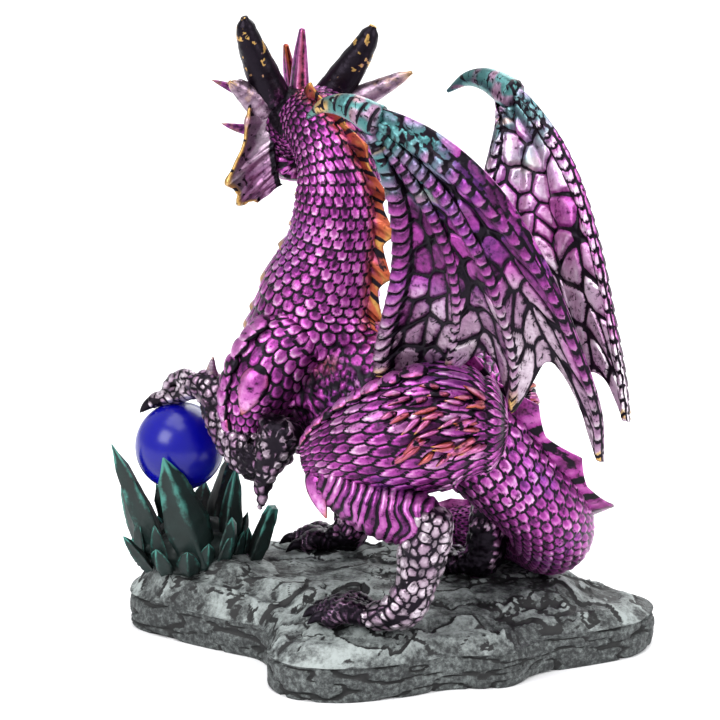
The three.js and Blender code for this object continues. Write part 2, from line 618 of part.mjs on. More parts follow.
const legs = [
  limb(LEFT_THIGH, 9, 8), limb(LEFT_SHANK, 8, 6), limb(LEFT_INSTEP, 8, 7, { dorsal: [1, 0, 0.2] }),
  limb(RIGHT_THIGH, 8, 7), limb(RIGHT_SHANK, 7, 5), limb(RIGHT_INSTEP, 7, 6, { dorsal: [1, 0, 0.2] }),
  limb(LEFT_UPPER_ARM, 8, 6, { dorsal: [1, 0, 0] }), limb(LEFT_FOREARM, 8, 6, { dorsal: [0, -0.2, 1] }),
  horn(LEFT_ELBOW_SPUR, 5.6, { sides: 7, steps: 5, flat: 0.8, dorsal: [1, 0, 0] }),
  limb(RIGHT_UPPER_ARM, 7, 5, { dorsal: [1, 0, 0] }), limb(RIGHT_FOREARM, 7, 6, { dorsal: [1, 0, 0] }),
  foot([12, 22.2, 14.4], 14, 12.5, 26, 2.5, -ROCK_DIP),
  foot([12, -13.4, 16.2], 6, 8.5, 26, 2.3, 0, 3),
  foot([46, -11.4, 16.2], 26, 9.5, 28, 2.3, 0, 3),
];
const trunk = limb(TRUNK, 10, 22);
const neck = limb(NECK, 10, 13);
const chest = ball(CHEST.at, CHEST.radii, 11, 7);
const headSolid = placed(head(), HEAD_AT, HEAD_YAW, HEAD_PITCH, HEAD_ROLL);
const crests = [crest(TRUNK, TAIL_CREST, tailCrestHeight), crest(NECK, NECK_CREST, neckCrestHeight)];
const bodySolid = union([trunk, neck, chest, ...crests, scutes(), ...legs, paw(), headSolid]);
const dragonSolid = onRock(bodySolid).subtract(rockLifted).subtract(orbSeat);

const rump = union([
  limb(TRUNK, 10, 22, { grow: GLUE_GAP }),
  limb(NECK, 10, 13, { grow: GLUE_GAP }),
  chest,
  limb(LEFT_THIGH, 9, 8, { grow: GLUE_GAP }),
  limb(RIGHT_THIGH, 8, 7, { grow: GLUE_GAP }),
]);
const wings = [wing(1), placed(wing(-1).translate([-17, 8, 0]), [17, -8, -2.2], RIGHT_WING_TURN)];
const wingSolids = wings.map((solid) => onRock(solid.subtract(rump)));

const cluster = union([...CRYSTALS.map(crystal), ball(CLUSTER_CORE.at, CLUSTER_CORE.radii, 8, 5)])
  .subtract(rockLifted)
  .subtract(orbSeat);

// The largest body of a solid, without the crumbs that a cut leaves
function largest(solid) {
  return solid.decompose().sort((a, b) => b.volume() - a.volume())[0];
}

function geometryOf(solid) {
  const { vertProperties, triVerts, numProp } = solid.getMesh();
  const positions = new Float32Array(vertProperties.length / numProp * 3);
  for (let i = 0; i * numProp < vertProperties.length; i += 1) {
    positions.set(vertProperties.subarray(i * numProp, i * numProp + 3), i * 3);
  }
  const geometry = new THREE.BufferGeometry();
  geometry.setAttribute('position', new THREE.BufferAttribute(positions, 3));
  geometry.setIndex(new THREE.BufferAttribute(triVerts, 1));
  return geometry;
}

function mesh(name, solid, colour) {
  const welded = solidOf(mergeVertices(geometryOf(largest(solid)), WELD));
  const geometry = geometryOf(largest(welded));
  geometry.computeVertexNormals();
  const made = new THREE.Mesh(geometry, new THREE.MeshStandardMaterial(colour));
  made.name = name;
  return made;
}

const figure = new THREE.Group();
figure.add(
  mesh('rock_base', rockSolid, colours.rock),
  mesh('crystal_cluster', cluster, colours.crystal),
  mesh('orb', orbSolid, colours.orb),
  mesh('dragon', dragonSolid, colours.dragon),
  mesh('wing_left', wingSolids[0], colours.wing),
  mesh('wing_right', wingSolids[1], colours.wing),
);

export default figure;
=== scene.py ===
import math

import bpy
import numpy as np
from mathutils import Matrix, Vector


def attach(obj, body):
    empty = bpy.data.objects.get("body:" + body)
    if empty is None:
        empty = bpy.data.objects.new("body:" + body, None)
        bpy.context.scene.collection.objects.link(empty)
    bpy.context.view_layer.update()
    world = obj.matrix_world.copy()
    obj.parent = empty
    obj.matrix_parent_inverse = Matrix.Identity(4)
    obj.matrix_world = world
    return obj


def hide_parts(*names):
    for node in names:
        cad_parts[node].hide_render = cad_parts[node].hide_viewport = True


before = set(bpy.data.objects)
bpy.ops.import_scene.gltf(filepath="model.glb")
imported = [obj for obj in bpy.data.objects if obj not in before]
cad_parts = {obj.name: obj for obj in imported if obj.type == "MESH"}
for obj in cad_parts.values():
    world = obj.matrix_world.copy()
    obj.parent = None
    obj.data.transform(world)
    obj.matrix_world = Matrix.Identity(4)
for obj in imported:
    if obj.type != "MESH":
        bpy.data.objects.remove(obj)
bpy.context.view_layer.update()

# The rock is a slab of its own, cast in resin, painted charcoal and dry-brushed with pale grey.
# Its top climbs from the wall in ledges, like split slate, and its wall is laid in thin strata.
MM = 0.001
ROCK_OUTLINE = np.array([
    (58.5, -18), (57, -11), (49, -3.5), (37, 5), (29, 10.5), (26, 18), (26, 28.4), (20, 36.2),
    (9, 38), (-3, 35), (-13, 30), (-26, 28.4), (-34, 19.5), (-46, 13.5), (-56, 7),
    (-60, -4), (-56, -12), (-46, -16), (-37, -20.5), (-27, -28), (-14, -34.5), (2, -37),
    (18, -37), (34, -36.5), (47, -34), (56, -27),
])
ROCK_WALL = 8.3
ROCK_TOP = 16
ROCK_DIP = 2
ROCK_CRYSTAL_TOP = 19
ROCK_TAIL_TOP = 12.5
ROCK_SIDES = 340
ROCK_TOP_RINGS = 96
ROCK_WALL_RINGS = 24


def smooth(x, low, high):
    """0 at low and 1 at high, with an S-shaped rise, or fall, between"""
    share = np.clip((x - low) / (high - low), 0, 1)
    return share * share * (3 - 2 * share)


def blend(a, b, share):
    """a where share is 0, and b where it is 1"""
    return a + (b - a) * share


def unit(v):
    """Vectors cut to a length of 1"""
    return v / np.maximum(np.linalg.norm(v, axis=-1, keepdims=True), 1e-12)


def drawn(cell, seed):
    """A number from 0 to 1 for each cell of a lattice, mixed from its whole-number place"""
    mixed = cell[..., 0] * 73856093 ^ cell[..., 1] * 19349663 ^ cell[..., 2] * 83492791
    mixed = (mixed ^ (seed * 668265263 + 374761393)) & 0xFFFFFFFF
    mixed = ((mixed ^ (mixed >> 15)) * 2246822519) & 0xFFFFFFFF
    mixed = ((mixed ^ (mixed >> 13)) * 3266489917) & 0xFFFFFFFF
    return ((mixed ^ (mixed >> 16)) & 0xFFFFFF) / 0xFFFFFF


def noise(p, seed):
    """Value noise: the numbers drawn at a cell's eight corners, blended smoothly across it"""
    base = np.floor(p).astype(np.int64)
    f = p - base
    f = f * f * (3 - 2 * f)
    total = np.zeros(p.shape[:-1])
    for corner in np.ndindex(2, 2, 2):
        weight = np.prod(np.where(corner, f, 1 - f), axis=-1)
        total += weight * drawn(base + np.array(corner), seed)
    return total


def layered(p, layers, seed):
    """Noise added to itself, each layer twice as fine and half as strong, from 0 to 1"""
    parts = [noise(p * 2 ** k, seed + k) / 2 ** k for k in range(layers)]
    return sum(parts) / (2 - 2 ** (1 - layers))


def place_of(x, y, z=0):
    """Points from their coordinates"""
    return np.stack(np.broadcast_arrays(x, y, z), -1)


def cells(p, seed):
    """Scattered points, one in each lattice cell: distance to the nearest and to the second, and
    a number drawn for the nearest"""
    base = np.floor(p).astype(np.int64)
    near = np.full(p.shape[:-1], 9.0)
    second = near.copy()
    pick = np.zeros_like(near)
    spread = np.array((1, 1, np.any(p[..., 2])))
    for corner in np.ndindex(3, 3, 1 + 2 * spread[2]):
        cell = (base + np.array(corner) - 1) * spread
        spot = np.stack([drawn(cell, seed + k) for k in range(3)], -1) * 0.8 + 0.1 + cell
        far = np.linalg.norm((spot - p) * spread, axis=-1)
        second = np.minimum(second, np.maximum(near, far))
        pick = np.where(far < near, drawn(cell, seed + 7), pick)
        near = np.minimum(near, far)
    return near, second, pick


def grid_normals(p, closed=True):
    """Normals of a grid of points: the cross product of its steps along and around"""
    turn = np.roll(p, -1, axis=1) - np.roll(p, 1, axis=1) if closed else np.gradient(p, axis=1)
    return unit(np.cross(turn, np.gradient(p, axis=0)))


def shell(points, faces, fans, values):
    """A closed shell whose faces are turned outwards by the volume that they enclose"""
    a, b, c = (points[faces[:, k]] for k in (0, 1, 2))
    if np.einsum("ij,ij->i", a, np.cross(b, c)).sum() < 0:
        faces, fans = faces[:, ::-1], fans[:, ::-1]
    return points, faces, fans, values


def tube(p, **values):
    """Closed rings of points, one after another, as a shell: quads between neighbouring rings, and
    a fan of triangles to a point at each end. Paints go from 0 to 1 at each point."""
    rows, around = p.shape[:2]
    index = np.arange(rows * around).reshape(rows, around)
    turned = np.roll(index, -1, axis=1)
    quads = np.stack([index[:-1], turned[:-1], turned[1:], index[1:]], -1).reshape(-1, 4)
    first, last = (np.full(around, rows * around + k) for k in (0, 1))
    fans = np.stack([[first, turned[0], index[0]], [last, index[-1], turned[-1]]])
    fans = fans.transpose(0, 2, 1).reshape(-1, 3)
    kept = {}
    for key, value in values.items():
        value = np.clip(np.zeros((rows, around)) + value, 0, 1)
        kept[key] = np.concatenate([value.reshape(-1), [value[0].mean(), value[-1].mean()]])
    return shell(np.vstack([p.reshape(-1, 3), p[0].mean(0), p[-1].mean(0)]), quads, fans, kept)


def piece(name, shells, material, node):
    """One object from several shells, riding on the part's only body in place of a CAD node"""
    mesh = bpy.data.meshes.new(name)
    start, faces = 0, []
    for points, quads, fans, _ in shells:
        faces += (quads + start).tolist() + (fans + start).tolist()
        start += len(points)
    mesh.from_pydata((np.vstack([s[0] for s in shells]) * MM).tolist(), [], faces)
    for key in sorted(set().union(*(s[3] for s in shells))):
        values = [s[3].get(key, np.zeros(len(s[0]))) for s in shells]
        layer = mesh.attributes.new(key, "FLOAT", "POINT")
        layer.data.foreach_set("value", np.concatenate(values).astype(np.float32))
    mesh.shade_smooth()
    mesh.materials.append(material)
    made = bpy.data.objects.new(name, mesh)
    bpy.context.scene.collection.objects.link(made)
    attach(made, "root")
    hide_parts(node)


def hex_colour(code):
    """An sRGB hex colour as linear light, with full alpha"""
    share = [int(code[k:k + 2], 16) / 255 for k in (1, 3, 5)]
    return [s / 12.92 if s <= 0.04045 else ((s + 0.055) / 1.055) ** 2.4 for s in share] + [1]


def add(tree, kind, links=None, **settings):
    """A shader node with its settings. Each input is set to a value or a hex colour, or joined to
    a socket or to the first output of a node."""
    node = tree.nodes.new("ShaderNode" + kind)
    for key, value in settings.items():
        setattr(node, key, value)
    for key, value in (links or {}).items():
        if isinstance(value, bpy.types.Node):
            value = value.outputs[0]
        if isinstance(value, bpy.types.NodeSocket):
            tree.links.new(value, node.inputs[key])
        else:
            node.inputs[key].default_value = hex_colour(value) if isinstance(value, str) else value
    return node


def new_material(name):
    """An empty node material, and the tree it is in"""
    material = bpy.data.materials.new(name)
    material.use_nodes = True
    material.node_tree.nodes.clear()
    return material, material.node_tree


def curve_between(before, value, following, after, f):
    """The Catmull-Rom curve from a point to the one that follows, f from 0 to 1"""
    rise, fall = (following - before) / 2, (after - value) / 2
    bend = 3 * (following - value) - 2 * rise - fall + f * (2 * (value - following) + rise + fall)
    return value + f * (rise + f * bend)


def rock_outline(turn):
    """A closed curve through the outline's corners, turn from 0 to 1"""
    at = (turn % 1) * len(ROCK_OUTLINE)
    i = at.astype(int)
    corners = (ROCK_OUTLINE[(i + k) % len(ROCK_OUTLINE)] for k in (-1, 0, 1, 2))
    return curve_between(*corners, (at - i)[..., None])


def contour(field, at, level, width):
    """A line of even width where a field passes a level: its distance from it over its slope"""
    value = field(at)
    slope = np.hypot(field(at + (0.3, 0, 0)) - value, field(at + (0, 0.3, 0)) - value) / 0.3
    return smooth(np.abs(value - level) / np.maximum(slope, 1e-6), width, 0.3 * width)


def rock_surface():
    """Rings that grow from the middle to the outline, then go down the wall and in under the foot.
    The top is split into slabs that lie at heights of their own with cracks between, and the wall
    is laid in beds, each set back from the one above by noise stretched sideways."""
    edge = rock_outline(np.arange(ROCK_SIDES) / ROCK_SIDES)
    share = np.linspace(0.006, 1, ROCK_TOP_RINGS)[:, None] ** 0.8
    flat = place_of(*np.moveaxis(share[..., None] * edge * 0.99, -1, 0))
    x, y = flat[..., 0], flat[..., 1]
    right = blend(ROCK_TOP, ROCK_CRYSTAL_TOP, smooth(x, 24, 40))
    left = blend(ROCK_TAIL_TOP, ROCK_TOP, smooth(x, -56, -34))
    plateau = np.where(x > 0, right, left) - ROCK_DIP * smooth(y, 4, 20)
    ledge = smooth(1 - share, 0, 0.12) * 0.55 + smooth(1 - share, 0.16, 0.34) * 0.45
    warp = (layered(flat / 7, 4, 5) - 0.5)[..., None] * (1.1, 0.8, 0)
    near, second, slab = cells(flat / (23, 13, 1) + warp, 21)
    crack = smooth(second - near, 0.06, 0)
    swell = layered(flat / 15 + 3.1, 4, 11) * 4.4 + share * 1.1
    terrace = np.floor(swell) + smooth(swell % 1, 0, 0.1) - swell
    rough = layered(flat / 3.1, 5, 31) - 0.5
    fade = smooth(1 - share, 0, 0.05)
    relief = 0.8 * terrace + 0.9 * (slab - 0.5) * smooth(second - near, 0, 0.1) + 0.8 * rough - 0.7 * crack
    top = blend(ROCK_WALL, plateau, ledge) - 0.5 + fade * relief + 0.3 * rough * (1 - fade)
    height = np.linspace(0.98, 0, ROCK_WALL_RINGS)[:, None]
    rise = height * top[-1]
    strata_at = place_of(*edge.T / 11, rise * 0.42)
    strata = layered(strata_at, 5, 51) - 0.5
    beds = noise(strata_at * (1.6, 1.6, 1.9) + 9, 57)
    undercut = smooth(np.abs(beds - 0.5), 0.085, 0.015)
    bulge = 1 - 0.02 * (1 - np.sqrt(np.clip(1 - (2 * height - 1) ** 2, 0, 1)))
    bulge = bulge + 0.03 * (strata - 0.3) - 0.026 * undercut
    wall = place_of(*(edge.T[:, None] * bulge), rise)
    p = np.concatenate([flat + top[..., None] * (0, 0, 1), wall, place_of(*edge.T * 0.93)[None]])
    bare_rim = smooth(share, 0.9, 1) * (layered(flat / 4, 3, 43) > 0.45)
    dry_top = -0.06 + 0.8 * terrace + 1.1 * rough + 0.3 * (slab - 0.5) - 0.5 * bare_rim
    # The wall's dry-brushed strata sit on paint set far darker than the top's, painted shade on the upright
    # side, a little lighter towards its foot
    dry_wall = -0.48 + 1.5 * strata + 0.08 * (1 - height)
    # Painted shadow: a dark line traced along the foot of each ledge's step
    ledge_shadow = contour(lambda at: layered(at / 15 + 3.1, 4, 11) * 4.4, flat, np.round(swell) - share * 1.1, 0.8)
    split = contour(lambda at: layered(at / 11 + 5, 4, 41), flat, 0.5, 0.55)
    chip = contour(lambda at: layered(at / 5 + 8, 3, 46), flat, 0.5, 0.22) * (noise(flat / 9, 47) > 0.5)
    dark = np.max([crack, 0.9 * split, ledge_shadow, 0.9 * chip], axis=0)
    foot = 0 * undercut[:1]
    # On the wall the undercut under each bed is blackened: black wash and painted shade under the overhang
    wash = np.concatenate([dark * fade, undercut, foot])
    return tube(p, dry=np.concatenate([dry_top, dry_wall, foot]), wash=wash)


# Matt acrylic on resin: charcoal in the hollows, chalky grey where a nearly dry brush has caught the
# high places, in streaks a few tenths of a millimetre wide. The black line at the foot of each ledge is
# painted shadow, the black in the wall's undercuts is wash and painted shade, and the wall is painted darker
# as shade.
slate_paint, tree = new_material("matt_acrylic_slate_grey_dry_brushed")
place = add(tree, "TexCoord").outputs["Object"]
dry, wash = (add(tree, "Attribute", attribute_name=name).outputs["Fac"] for name in ("dry", "wash"))
streaks = add(tree, "TexNoise", {"Vector": place, "Scale": 900, "Detail": 6, "Roughness": 0.72})
clouds = add(tree, "TexNoise", {"Vector": place, "Scale": 90, "Detail": 4})
brushed = add(tree, "Math", {0: streaks, 1: 1.9, 2: dry}, operation="MULTIPLY_ADD")
brushed = add(tree, "Math", {0: clouds, 1: 0.5, 2: brushed}, operation="MULTIPLY_ADD")
coverage = add(
    tree, "MapRange", {"Value": brushed, "From Min": 0.98, "From Max": 2.16}, interpolation_type="SMOOTHSTEP")
shade = add(tree, "Mix", {"Factor": coverage, 6: "#1b1e1f", 7: "#959d9b"}, data_type="RGBA").outputs[2]
ragged = add(tree, "Math", {0: streaks, 1: -0.8, 2: 0.4}, operation="MULTIPLY_ADD")
ragged = add(tree, "Math", {0: ragged, 1: wash}, operation="ADD")
ragged = add(
    tree, "MapRange", {"Value": ragged, "From Min": 0.3, "From Max": 0.6}, interpolation_type="SMOOTHSTEP")
shade = add(tree, "Mix", {"Factor": ragged, 6: shade, 7: "#0b0c0d"}, data_type="RGBA").outputs[2]
grit = add(tree, "Bump", {"Height": streaks, "Strength": 0.35, "Distance": 0.0003})
paint = add(tree, "BsdfPrincipled", {"Base Color": shade, "Roughness": 0.66, "Normal": grit})
add(tree, "OutputMaterial", {"Surface": paint})
piece("rock_slab", [rock_surface()], slate_paint, "rock_base")

# The crystals are one small casting set on the rock: blades with a ridge down the middle and
# hollow faces, painted black-green, their edges brushed with teal.
CRYSTALS = [
    ((41, -7, 16), (49.4, -4, 42.2), 10.5), ((50, -11, 16), (61.4, -13.5, 42.6), 9.5),
    ((54, -15, 17), (59.5, -17.5, 33.5), 8), ((36, -13, 16), (33.6, -12.6, 37.5), 9),
    ((36, -8, 17), (34.4, -5.5, 28), 6), ((30, -11, 16), (25.4, -9.6, 29), 7),
    ((53, -8, 15), (58.6, -4.4, 24), 5), ((39, -21, 16), (34.6, -25.5, 38), 8.5),
    ((47, -23, 16), (50, -29, 40), 9.5), ((53, -20, 16), (60.5, -25, 36.5), 8.5),
    ((43, -25, 17), (41.5, -31, 29), 6),
]
CRYSTAL_CORE = np.array((43.5, -14.5, 20))
CORE_RADII = np.array((13, 10, 6.5))
BLUNT = 5
SMALL_CRYSTALS = 17


def crystal(root, tip, width, blunt=False, around=32, rows=36):
    """A four-sided blade: a diamond section with hollow faces, its size along the axis swelling to
    two fifths of the length and closing to a point"""
    root, tip = np.array(root, float), np.array(tip, float)
    axis = unit(tip - root)
    broad = unit(np.cross(unit((root - CRYSTAL_CORE) * (1, 1, 0)), axis))
    thick = np.cross(axis, broad)
    share = np.linspace(0, 1, rows)[:, None]
    sizes = [0.4, 0.5, 0.42 if blunt else 0.3, 0.3 if blunt else 0.015]
    size = width * np.interp(share, [0, 0.42, 0.8, 1], sizes)
    angle = np.arange(around) * 2 * math.pi / around
    c, s = np.cos(angle), np.sin(angle)
    size = size * (np.abs(c) ** 0.93 + np.abs(s) ** 0.93) ** (-1 / 0.93)
    p = root + (share * np.linalg.norm(tip - root))[..., None] * axis
    p = p + (size * c)[..., None] * broad + (size * s * 0.62)[..., None] * thick
    chips = layered(p / 2.4, 4, 71) - 0.5
    p = p - grid_normals(p) * (chips * (1 - 0.75 * share))[..., None]
    ridge = np.maximum(np.abs(c), np.abs(s)) ** 14
    edge = ridge * (0.15 + 0.6 * share) + 0.55 * smooth(share, 0.8, 1)
    edge = edge + 0.9 * (layered(p / 3.5, 3, 75) - 0.55) * (0.3 + share)
    # Painted light and shade: the face that looks out of the cluster is made lighter, the one that looks in
    # darker
    return tube(p, edge=edge, facet=0.5 + 0.5 * s)


def small_crystals():
    """Short blades leaning outwards round the foot of the cluster, placed by a seeded draw"""
    rng = np.random.default_rng(4)
    made = []
    for k in range(SMALL_CRYSTALS):
        turn = 2 * math.pi * (k + rng.uniform(-0.3, 0.3)) / SMALL_CRYSTALS
        out = np.array((math.cos(turn), math.sin(turn), 0)) * CORE_RADII
        foot = CRYSTAL_CORE + out * rng.uniform(0.62, 0.98) + (0, 0, -5)
        lean = unit(out) * rng.uniform(0.5, 3.4) + (0, 0, rng.uniform(5, 12))
        made.append(crystal(foot, foot + lean, rng.uniform(4, 7), around=20, rows=12))
    return made


def sphere(around, climb):
    """Rings of latitude on a ball of radius 1, at the angles they climb to"""
    angle = np.arange(around) * 2 * math.pi / around
    return place_of(np.cos(climb) * np.cos(angle), np.cos(climb) * np.sin(angle), np.sin(climb))


def crystal_foot():
    """The rough lump that the blades grow from: a ball of three half sizes, and noise"""
    lump = sphere(72, np.linspace(-0.5, 0.5, 40)[:, None] * math.pi * 0.98)
    p = lump * CORE_RADII + CRYSTAL_CORE - (0, 0, 2)
    p = p + lump * (layered(p / 3, 4, 81) - 0.6)[..., None] * 5
    return tube(p, edge=0.25 * smooth(layered(p / 2, 3, 83), 0.5, 0.8), facet=0.5)


# Satin acrylic on resin: nearly black green in the faces, teal where the brush caught the ridges,
# broken up by specks finer than a millimetre
crystal_paint, tree = new_material("satin_acrylic_black_green_teal_edges_painted_face_light")
place = add(tree, "TexCoord").outputs["Object"]
edge, facet = (add(tree, "Attribute", attribute_name=name).outputs["Fac"] for name in ("edge", "facet"))
specks = add(tree, "TexNoise", {"Vector": place, "Scale": 800, "Detail": 6, "Roughness": 0.7})
patches = add(tree, "TexNoise", {"Vector": place, "Scale": 170, "Detail": 3})
caught = add(tree, "Math", {0: edge, 1: specks}, operation="ADD")
teal = add(
    tree, "MapRange", {"Value": caught, "From Min": 0.78, "From Max": 1.35}, interpolation_type="SMOOTHSTEP")
# Painted light and shade: outward faces lighter, faces turned into the cluster darker
face = add(tree, "Math", {0: patches, 1: facet}, operation="MULTIPLY")
coat = add(tree, "Mix", {"Factor": face, 6: "#0b0d0d", 7: "#1d3431"}, data_type="RGBA").outputs[2]
coat = add(tree, "Mix", {"Factor": teal, 6: coat, 7: "#3f7d73"}, data_type="RGBA").outputs[2]
grit = add(tree, "Bump", {"Height": specks, "Strength": 0.25, "Distance": 0.0003})
paint = add(
    tree, "BsdfPrincipled", {"Base Color": coat, "Roughness": 0.5, "Specular IOR Level": 0.3, "Normal": grit})
add(tree, "OutputMaterial", {"Surface": paint})
blades = [crystal(*c, blunt=k == BLUNT) for k, c in enumerate(CRYSTALS)]
blades += [*small_crystals(), crystal_foot()]
piece("crystals", blades, crystal_paint, "crystal_cluster")

# The ball is a solid marble of cobalt-blue glass, 20 mm across, that rests among the crystals.
ORB_RADIUS = 10
ORB_AT = np.array((46.3, -15.5, 41.5))


def ball(at, radii, around, rows):
    """A sphere's rings of latitude, stretched to three half sizes"""
    climb = np.linspace(-0.5, 0.5, rows + 2)[1:-1, None] * math.pi
    return sphere(around, climb) * radii + at


# Cobalt glass, fire-polished: light dies out within a few millimetres, so it reads as a deep
# even blue with one soft highlight
cobalt_glass, tree = new_material("cobalt_blue_glass_polished")
paint = add(tree, "BsdfPrincipled", {
    "Base Color": "#08088f", "Roughness": 0.24, "IOR": 1.45, "Transmission Weight": 0.35,
    "Specular IOR Level": 0.35,
})
add(tree, "OutputMaterial", {"Surface": paint})
piece("glass_ball", [tube(ball(ORB_AT, ORB_RADIUS, 80, 50))], cobalt_glass, "orb")

# The dragon is one casting, painted in pearly purple over black and brushed with silver, copper,
# gold and teal. First its trunk and tail: pointed scales on the tail, domes and rings on the flank.
BODY_YAW = math.radians(-35)
PELVIS = np.array((-20.3, 16, 2))
TRUNK = [
    (50, -19, 16.2, 0.8, 0.8, 0, 0, 1), (40.5, -25.5, 17.2, 2.8, 2.8, 0, 0, 1),
    (25, -29.5, 18.6, 4.8, 4.8, 0, -0.1, 1), (9, -28.5, 20.4, 6.8, 6.8, -0.1, -0.4, 0.9),
    (-4, -21.5, 24, 9, 9, -0.6, -0.6, 0.5), (-8, -12, 33, 9.8, 9.8, -0.85, -0.4, 0.3),
    (-3.6, -4, 43, 11, 10.4, -0.75, -0.2, 0.6), (5, 0, 52, 13.4, 12.2, -0.3, 0, 0.95),
    (14, 0, 55, 13.8, 13.2, 0, 0, 1), (24, 0, 55.4, 13, 13.8, 0, 0, 1),
    (34, 0, 56.4, 13.2, 15, 0, 0, 1), (43, 0, 57, 12.6, 14.6, 0, 0, 1), (50, 0, 57, 9.5, 12, 0, 0, 1),
]


def along(stations, t):
    """Catmull-Rom values at t, from 0 to 1, through evenly spaced rows of numbers"""
    rows = np.asarray(stations, float)
    padded = np.vstack([2 * rows[0] - rows[1], rows, 2 * rows[-1] - rows[-2]])
    at = np.clip(t, 0, 1) * (len(rows) - 1)
    i = np.minimum(at.astype(int), len(rows) - 2)
    return curve_between(*(padded[i + k] for k in range(4)), (at - i)[..., None])


def frames(stations, t, dorsal=(0, 0, 1)):
    """Centre, tangent, dorsal and left directions, half width and half height of a limb at t"""
    row = along(stations, t)
    ahead = along(stations, np.minimum(t + 0.01, 1)) - along(stations, np.maximum(t - 0.01, 0))
    ahead = unit(ahead[:, :3])
    up = row[:, 5:8] if row.shape[1] > 5 else np.ones((len(t), 1)) * dorsal
    up = unit(up - ahead * (up * ahead).sum(1, keepdims=True))
    return row[:, :3], ahead, up, np.cross(up, ahead), row[:, 3], row[:, 4]


def sweep(stations, rows, around, dorsal=(0, 0, 1)):
    """A limb: rings set along its stations, centre + cos(angle) height up + sin(angle) width left,
    closed to a dome at each end. Gives points, outward normals, t, angle, millimetres along and
    mean half size."""
    cap = 0.1
    reach = np.linspace(-cap, 1 + cap, rows)
    t = np.clip(reach, 0, 1)
    over = (reach - t) / cap * math.pi / 2
    centre, ahead, up, left, width, height = frames(stations, t, dorsal)
    middle = centre + ahead * (0.55 * np.minimum(width, height) * np.sin(over))[:, None]
    angle = np.arange(around)[None] * 2 * math.pi / around
    size = np.cos(over * 0.98)[:, None]
    p = (middle[:, None] + up[:, None] * (np.cos(angle) * height[:, None] * size)[..., None]
         + left[:, None] * (np.sin(angle) * width[:, None] * size)[..., None])
    normal = grid_normals(p)
    if (normal * (p - middle[:, None])).sum() < 0:
        normal = -normal
    step = np.linalg.norm(np.diff(middle, axis=0, prepend=middle[:1]), axis=1)
    return p, normal, t[:, None], angle, np.cumsum(step)[:, None], (width + height)[:, None] / 2


def scales(a, b, columns, shape=2.0):
    """Overlapping scales in staggered rows: a counts the rows towards the lips, and b goes once
    round from 0 to 1. A scale climbs from under the row before it to a lip, the lower half of
    |x|^shape + |y|^shape = 1, and the highest one shows. Gives height, nearness to the lip, groove
    past a lip, black wash and painted shadow under it, and the number drawn for the scale."""
    across = b * columns + 0 * a
    a = a + 0 * across
    layers = []
    height, pick, groove, lip = (np.zeros_like(a) for _ in range(4))
    for back in (-1, 0, 1):
        row = np.floor(a) - back
        shifted = across - 0.5 * (row % 2)
        column = np.floor(shifted + 0.5)
        x = 2 * np.abs(shifted - column)
        y = np.maximum(a - row - 0.72, 0) / 0.64
        past = 0.64 * ((x ** shape + y ** shape) ** (1 / shape) - 1)
        top = (a - row + 1) / 2.4 * (0.76 + 0.24 * np.sqrt(np.clip(1 - x * x, 0, 1)))
        value = top * smooth(past, 0.06, -0.1)
        pick = np.where(value > height, drawn(place_of(row, column % columns).astype(np.int64), 3), pick)
        height = np.maximum(height, value)
        layers.append((past, top))
    for past, top in layers:
        shown = smooth(top - height, -0.06, 0.1)
        # Just past each lip: black wash and the painted shadow that the lip casts
        groove = np.maximum(groove, smooth(past, -0.12, -0.02) * smooth(past, 0.22, 0.08) * shown)
        rim = smooth(past, -0.5, -0.22) * smooth(past, -0.08, -0.2)
        lip = np.maximum(lip, rim * smooth(top - height, -0.1, 0))
    return (height - 0.3) / 0.7, lip, groove, pick


def scale_rows(s, girth, columns, ratio):
    """Rows counted along a limb, each as long as ratio times the width of a scale there"""
    pitch = ratio * 2 * math.pi * np.maximum(girth, 1.2) / columns
    return np.cumsum(np.diff(s, axis=0, prepend=s[:1]) / pitch, axis=0)


def domes(p, size, seed):
    """Domes in the cells of scattered points, some of them ringed: height, groove and draw"""
    near, second, pick = cells(p / size, seed)
    groove = smooth(second - near, 0.22, 0.03)
    dome = np.sqrt(np.clip(1 - (near / 0.72) ** 2, 0, 1))
    ring = np.exp(-((near - 0.34) / 0.1) ** 2) + 0.9 * np.exp(-(near / 0.16) ** 2)
    return blend(dome, ring, (pick > 0.6) * 0.75) * (1 - groove), groove, pick


def on_rock(p):
    """From the dragon's own frame, +X forwards and +Y to its left, to the place on the rock"""
    c, s = math.cos(BODY_YAW), math.sin(BODY_YAW)
    return place_of(c * p[..., 0] - s * p[..., 1], s * p[..., 0] + c * p[..., 1], p[..., 2]) + PELVIS


def raised(p, normal, height, place=on_rock, **values):
    """A sweep's points pushed out by a height, in their place on the figure, as a shell"""
    return tube(place(p + normal * height[..., None]), **values)


def scaly_limb(stations, rows, around, columns, ratio, depth, dorsal=(0, 0, 1), towards=1, shape=2.0, **more):
    """A limb all over in overlapping scales that point to its end (1) or its start (-1)"""
    p, normal, _, angle, s, girth = sweep(stations, rows, around, dorsal)
    rows_along = towards * scale_rows(s, girth, columns, ratio)
    height, lip, groove, pick = scales(rows_along, angle / (2 * math.pi), columns, shape)
    more = {key: value(angle, pick, lip) for key, value in more.items()}
    return raised(p, normal, depth * (height - 0.7), wash=groove,
                  dry=0.1 + 0.42 * height + 0.26 * lip + 0.34 * (pick - 0.5), **more)


def pebbled_limb(stations, rows, around, size, depth, dorsal=(0, 0, 1), seed=1, silver=1, dark=0, bright=0):
    """A limb all over in fine domes, silver over black"""
    p, normal, *_ = sweep(stations, rows, around, dorsal)
    height, groove, pick = domes(p, size, seed)
    stain = 2 * dark * smooth(noise(p / 4, seed + 9), 0.3, 0.7)
    odd = 0.4 * (pick - 0.5)
    return raised(p, normal, depth * (height - 0.7), wash=0.95 * groove + stain, silver=silver + odd,
                  dry=0.14 + bright + 0.5 * height + odd)


